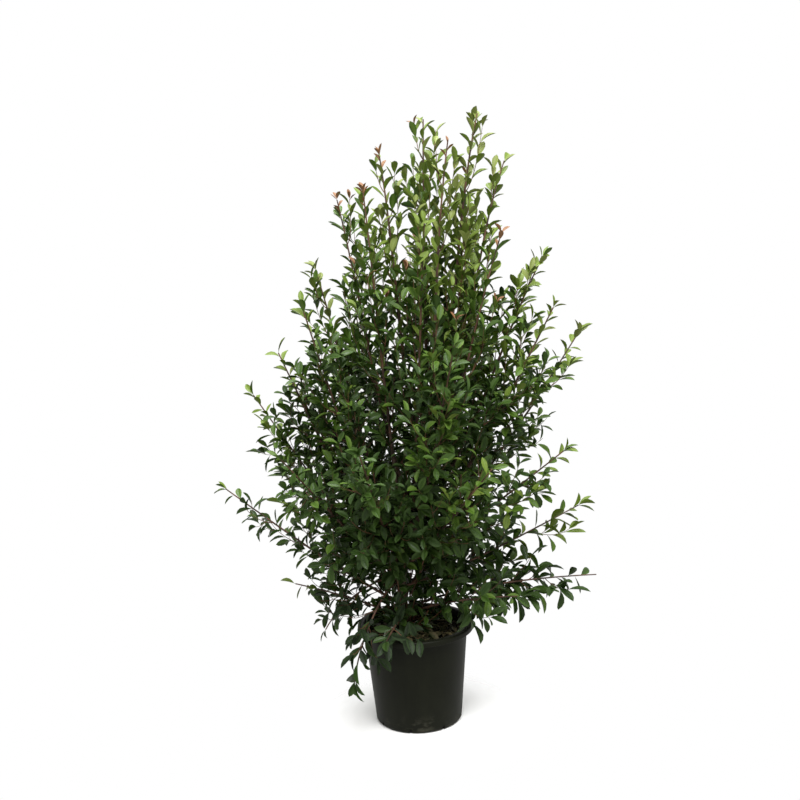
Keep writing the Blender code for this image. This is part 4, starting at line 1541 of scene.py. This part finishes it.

# %% [markdown]
# ## Leaf finish
#
# The upper side is waxy, so it mirrors the sky softly, and the underside is paler and
# dull. The oldest leaves, whose near-black green is partly painted shade, have lost most
# of their shine. Rib and side veins are worked out from the leaf's own map, which every
# leaf carries in the same way.

# %% Greens
GREENS = {
    # tint: upper side, underside, rib, roughness
    # old: nearly black, partly the age of a leaf and partly painted shade on shoots that hang in
    # shadow.
    "old": ((0.0062, 0.0140, 0.0030), (0.016, 0.031, 0.009), (0.015, 0.030, 0.008), 0.52),
    "deep": ((0.0162, 0.0365, 0.0058), (0.026, 0.051, 0.010), (0.028, 0.056, 0.009), 0.31),
    "dark": ((0.0232, 0.0525, 0.0064), (0.040, 0.076, 0.014), (0.042, 0.082, 0.013), 0.31),
    "mid": ((0.0390, 0.0830, 0.0075), (0.064, 0.111, 0.016), (0.072, 0.122, 0.016), 0.34),
    "fresh": ((0.0900, 0.1410, 0.0165), (0.112, 0.158, 0.026), (0.132, 0.175, 0.028), 0.38),
    "lime": ((0.1400, 0.1740, 0.0410), (0.144, 0.176, 0.045), (0.166, 0.197, 0.049), 0.40),
    "bronze": ((0.1600, 0.0760, 0.0310), (0.195, 0.106, 0.052), (0.170, 0.070, 0.036), 0.44),
}
VEINS = 9.0
VEIN_SLANT = 0.9
UNDER_ROUGHNESS = 0.62


def leaf_finish(name):
    *colours, rough = GREENS[name]
    top, under, rib = [(*colour, 1.0) for colour in colours]
    paint = Paint("leaf_" + name)
    uv = paint.node("ShaderNodeUVMap", {"uv_map": "OFBake"}, {})
    along = paint.node("ShaderNodeSeparateXYZ", {}, {"Vector": uv}, output=0)
    height = paint.node("ShaderNodeSeparateXYZ", {}, {"Vector": uv}, output=1)
    upper = paint.math("GREATER_THAN", height, 0.5)
    across = paint.math("ABSOLUTE", height - UNDER_MAP - upper * (UPPER_MAP - UNDER_MAP))
    middle = 1.0 - paint.ramp(across, 0.004, 0.014)
    slant = paint.math("FRACT", (along - across * VEIN_SLANT) * VEINS)
    veins = 1.0 - paint.ramp(paint.math("ABSOLUTE", slant - 0.5), 0.02, 0.13)
    blade = paint.mix(upper, under, top)
    blade = paint.mix(veins * 0.22 + middle * 0.75, blade, rib)
    return paint.set(
        Base_Color=blade, Roughness=UNDER_ROUGHNESS - upper * (UNDER_ROUGHNESS - rough),
        Normal=paint.bump(veins * -0.5 - middle, 0.5, 0.0005),
        Specular_IOR_Level=0.20)


print("greens:", ", ".join(GREENS))

# %% Deal the leaves out by tint
PIECE_LEAVES = 2600
TINT_SLOTS = {
    "old": "trailing_foliage",
    "deep": "skirt_foliage",
    "dark": "lower_foliage",
    "mid": "middle_foliage",
    "fresh": "upper_foliage",
    "lime": "leader_foliage",
    "bronze": "leader_foliage",
}


def leaf_recipe():
    """A leaf on each point, by the shape, turn and size that the point carries."""
    tree = Recipe("place_leaves")
    shapes = tree.ask("Shapes", "NodeSocketCollection")
    material = tree.ask("Material", "NodeSocketMaterial")
    picked = tree.node(
        "GeometryNodeCollectionInfo", {},
        {"Collection": shapes, "Separate Children": True, "Reset Children": True})
    placed = tree.node(
        "GeometryNodeInstanceOnPoints", {},
        {"Points": tree.geometry, "Instance": picked, "Pick Instance": True,
         "Instance Index": tree.attribute("shape", "INT"),
         "Rotation": tree.attribute("facing", "QUATERNION"),
         "Scale": tree.attribute("size", "FLOAT")})
    tree.finish(placed, material)
    return tree


def leaf_points(some):
    """One vertex for each leaf, with its turn, size and shape kept as attributes."""
    mesh = bpy.data.meshes.new("leaf_points")
    mesh.from_pydata([leaf.base for leaf in some], [], [])
    facing = mesh.attributes.new("facing", "QUATERNION", "POINT")
    facing.data.foreach_set("value", [part for leaf in some for part in leaf.facing])
    size = mesh.attributes.new("size", "FLOAT", "POINT")
    size.data.foreach_set("value", [leaf.length for leaf in some])
    shape = mesh.attributes.new("shape", "INT", "POINT")
    shape.data.foreach_set("value", [leaf.shape for leaf in some])
    return mesh


place_leaves = leaf_recipe()
for tint in GREENS:
    dealt = [leaf for leaf in leaves if leaf.tint == tint]
    finish = leaf_finish(tint)
    for start in range(0, len(dealt), PIECE_LEAVES):
        made = place_leaves.cook(
            leaf_points(dealt[start:start + PIECE_LEAVES]), Shapes=leaf_shapes, Material=finish)
        add_piece("leaves_%s_%d" % (tint, start // PIECE_LEAVES + 1), made, TINT_SLOTS[tint])
    print(tint, len(dealt), "leaves")

# %% [markdown]
# ## Leaf litter
#
# An evergreen sheds its oldest leaves all year, and in a pot they stay where they fall.
# They are the same leaf shapes, dried to olive and brown and scattered by the tree that
# laid the chips, in four thin layers so that they heap up a little.

# %% Dry leaves on the soil
LITTER_DENSITY = 1500.0
LITTER_GAP = 0.020
LITTER_EDGE = CHIP_EDGE - 0.025
LITTER_SIZES = (0.034, 0.058)
LITTER_LAYERS = (
    # lift off the soil, seed
    (0.002, 11), (0.008, 12), (0.014, 13), (0.020, 14))
DRY_OLIVE = (0.030, 0.036, 0.012, 1.0)
DRY_BROWN = (0.078, 0.062, 0.028, 1.0)


def dry_leaf():
    paint = Paint("dry_leaf")
    tone = paint.noise(paint.place(), 26.0, 2.0, 0.5)
    base = paint.mix(paint.ramp(tone, 0.38, 0.62), DRY_OLIVE, DRY_BROWN)
    return paint.set(
        Base_Color=base, Roughness=0.55 + tone * 0.3,
        Normal=paint.bump(tone, 0.3, 0.001), Specular_IOR_Level=0.25)


litter_finish = dry_leaf()
for layer, (lift, seed) in enumerate(LITTER_LAYERS, 1):
    ground = soil_top(LITTER_EDGE)
    ground.transform(Matrix.Translation((0.0, 0.0, lift)))
    litter = scatter.cook(
        ground, Shapes=leaf_shapes, Density=LITTER_DENSITY, Gap=LITTER_GAP,
        Smallest=LITTER_SIZES[0], Largest=LITTER_SIZES[1], Seed=seed, Material=litter_finish)
    add_piece("leaf_litter_%d" % layer, litter, "soil")

# %% [markdown]
# ## Studio and camera
#
# A white floor, a white surround and two large soft lamps give even light from all
# round, a little stronger from above. The floor fades out round the pot, so that no edge
# of it shows. The camera stands a few steps away at about eye height, looks slightly
# down and is held a little askew.

# %% Floor and surround
FLOOR_FADE = (0.12, 0.45)
FLOOR_WHITE = (0.93, 0.93, 0.93, 1.0)
FILL = 0.84
FILL_COLOUR = (1.0, 1.0, 0.96, 1.0)
SEEN_COLOUR = (1.0, 1.0, 1.0, 1.0)


def white_floor():
    """A pale floor that fades into the white surround away from the pot."""
    work = bmesh.new()
    bmesh.ops.create_grid(work, x_segments=1, y_segments=1, size=FLOOR_FADE[1])
    mesh = bpy.data.meshes.new("floor")
    work.to_mesh(mesh)
    work.free()
    floor = bpy.data.objects.new("floor", mesh)
    bpy.context.scene.collection.objects.link(floor)
    paint = Paint("floor_white")
    far = paint.node("ShaderNodeVectorMath", {"operation": "LENGTH"}, {0: paint.place()}, output=1)
    clear = paint.node("ShaderNodeBsdfTransparent", {}, {})
    white = paint.node("ShaderNodeBsdfDiffuse", {}, {"Color": FLOOR_WHITE, "Roughness": 0.5})
    fade = paint.ramp(far, *FLOOR_FADE)
    mixed = paint.node("ShaderNodeMixShader", {}, {0: fade, 1: white, 2: clear})
    mesh.materials.append(paint.end(mixed))


def white_surround():
    """White where the camera looks past the plant, and a dimmer fill for everything else."""
    world = bpy.data.worlds.new("white_surround")
    world.use_nodes = True
    nodes, links = world.node_tree.nodes, world.node_tree.links
    seen = nodes["Background"]
    seen.inputs["Color"].default_value = SEEN_COLOUR
    fill = nodes.new("ShaderNodeBackground")
    fill.inputs["Color"].default_value = FILL_COLOUR
    fill.inputs["Strength"].default_value = FILL
    mixed = nodes.new("ShaderNodeMixShader")
    links.new(nodes.new("ShaderNodeLightPath").outputs["Is Camera Ray"], mixed.inputs[0])
    links.new(fill.outputs[0], mixed.inputs[1])
    links.new(seen.outputs[0], mixed.inputs[2])
    links.new(mixed.outputs[0], nodes["World Output"].inputs["Surface"])
    bpy.context.scene.world = world


white_floor()
white_surround()
print("floor fades out at", FLOOR_FADE[1], "m")

# %% Lamps and camera
LAMPS = (
    # name, place, power in watts
    ("key_lamp", (0.5, -2.4, 4.8), 340.0),
    ("top_lamp", (-0.3, 0.8, 5.2), 315.0),
)
LAMP_SIZE = 3.0
LAMP_TARGET = (0.0, 0.0, 1.0)
CAMERA_PLACE = (-0.019, -3.6, 1.65)
CAMERA_DOWN = 9.03
CAMERA_ROLL = -2.51
CAMERA_LENS = 50.94
CAMERA_SENSOR = 36.0


def soft_lamp(name, place, power):
    lamp = bpy.data.lights.new(name, "AREA")
    lamp.shape = "DISK"
    lamp.size = LAMP_SIZE
    lamp.energy = power
    item = bpy.data.objects.new(name, lamp)
    item.location = place
    towards = Vector(LAMP_TARGET) - Vector(place)
    item.rotation_euler = towards.to_track_quat("-Z", "Y").to_euler()
    bpy.context.scene.collection.objects.link(item)


for name, place, power in LAMPS:
    soft_lamp(name, place, power)
camera_data = bpy.data.cameras.new("camera")
camera_data.sensor_width = CAMERA_SENSOR
camera_data.lens = CAMERA_LENS
camera = bpy.data.objects.new("camera", camera_data)
bpy.context.scene.collection.objects.link(camera)
camera.matrix_world = (
    Matrix.Translation(CAMERA_PLACE)
    @ Matrix.Rotation(math.radians(90.0 - CAMERA_DOWN), 4, "X")
    @ Matrix.Rotation(math.radians(CAMERA_ROLL), 4, "Z"))
bpy.context.scene.camera = camera
bpy.context.scene.view_settings.view_transform = "Standard"
print("camera at", [round(value, 2) for value in camera.location])
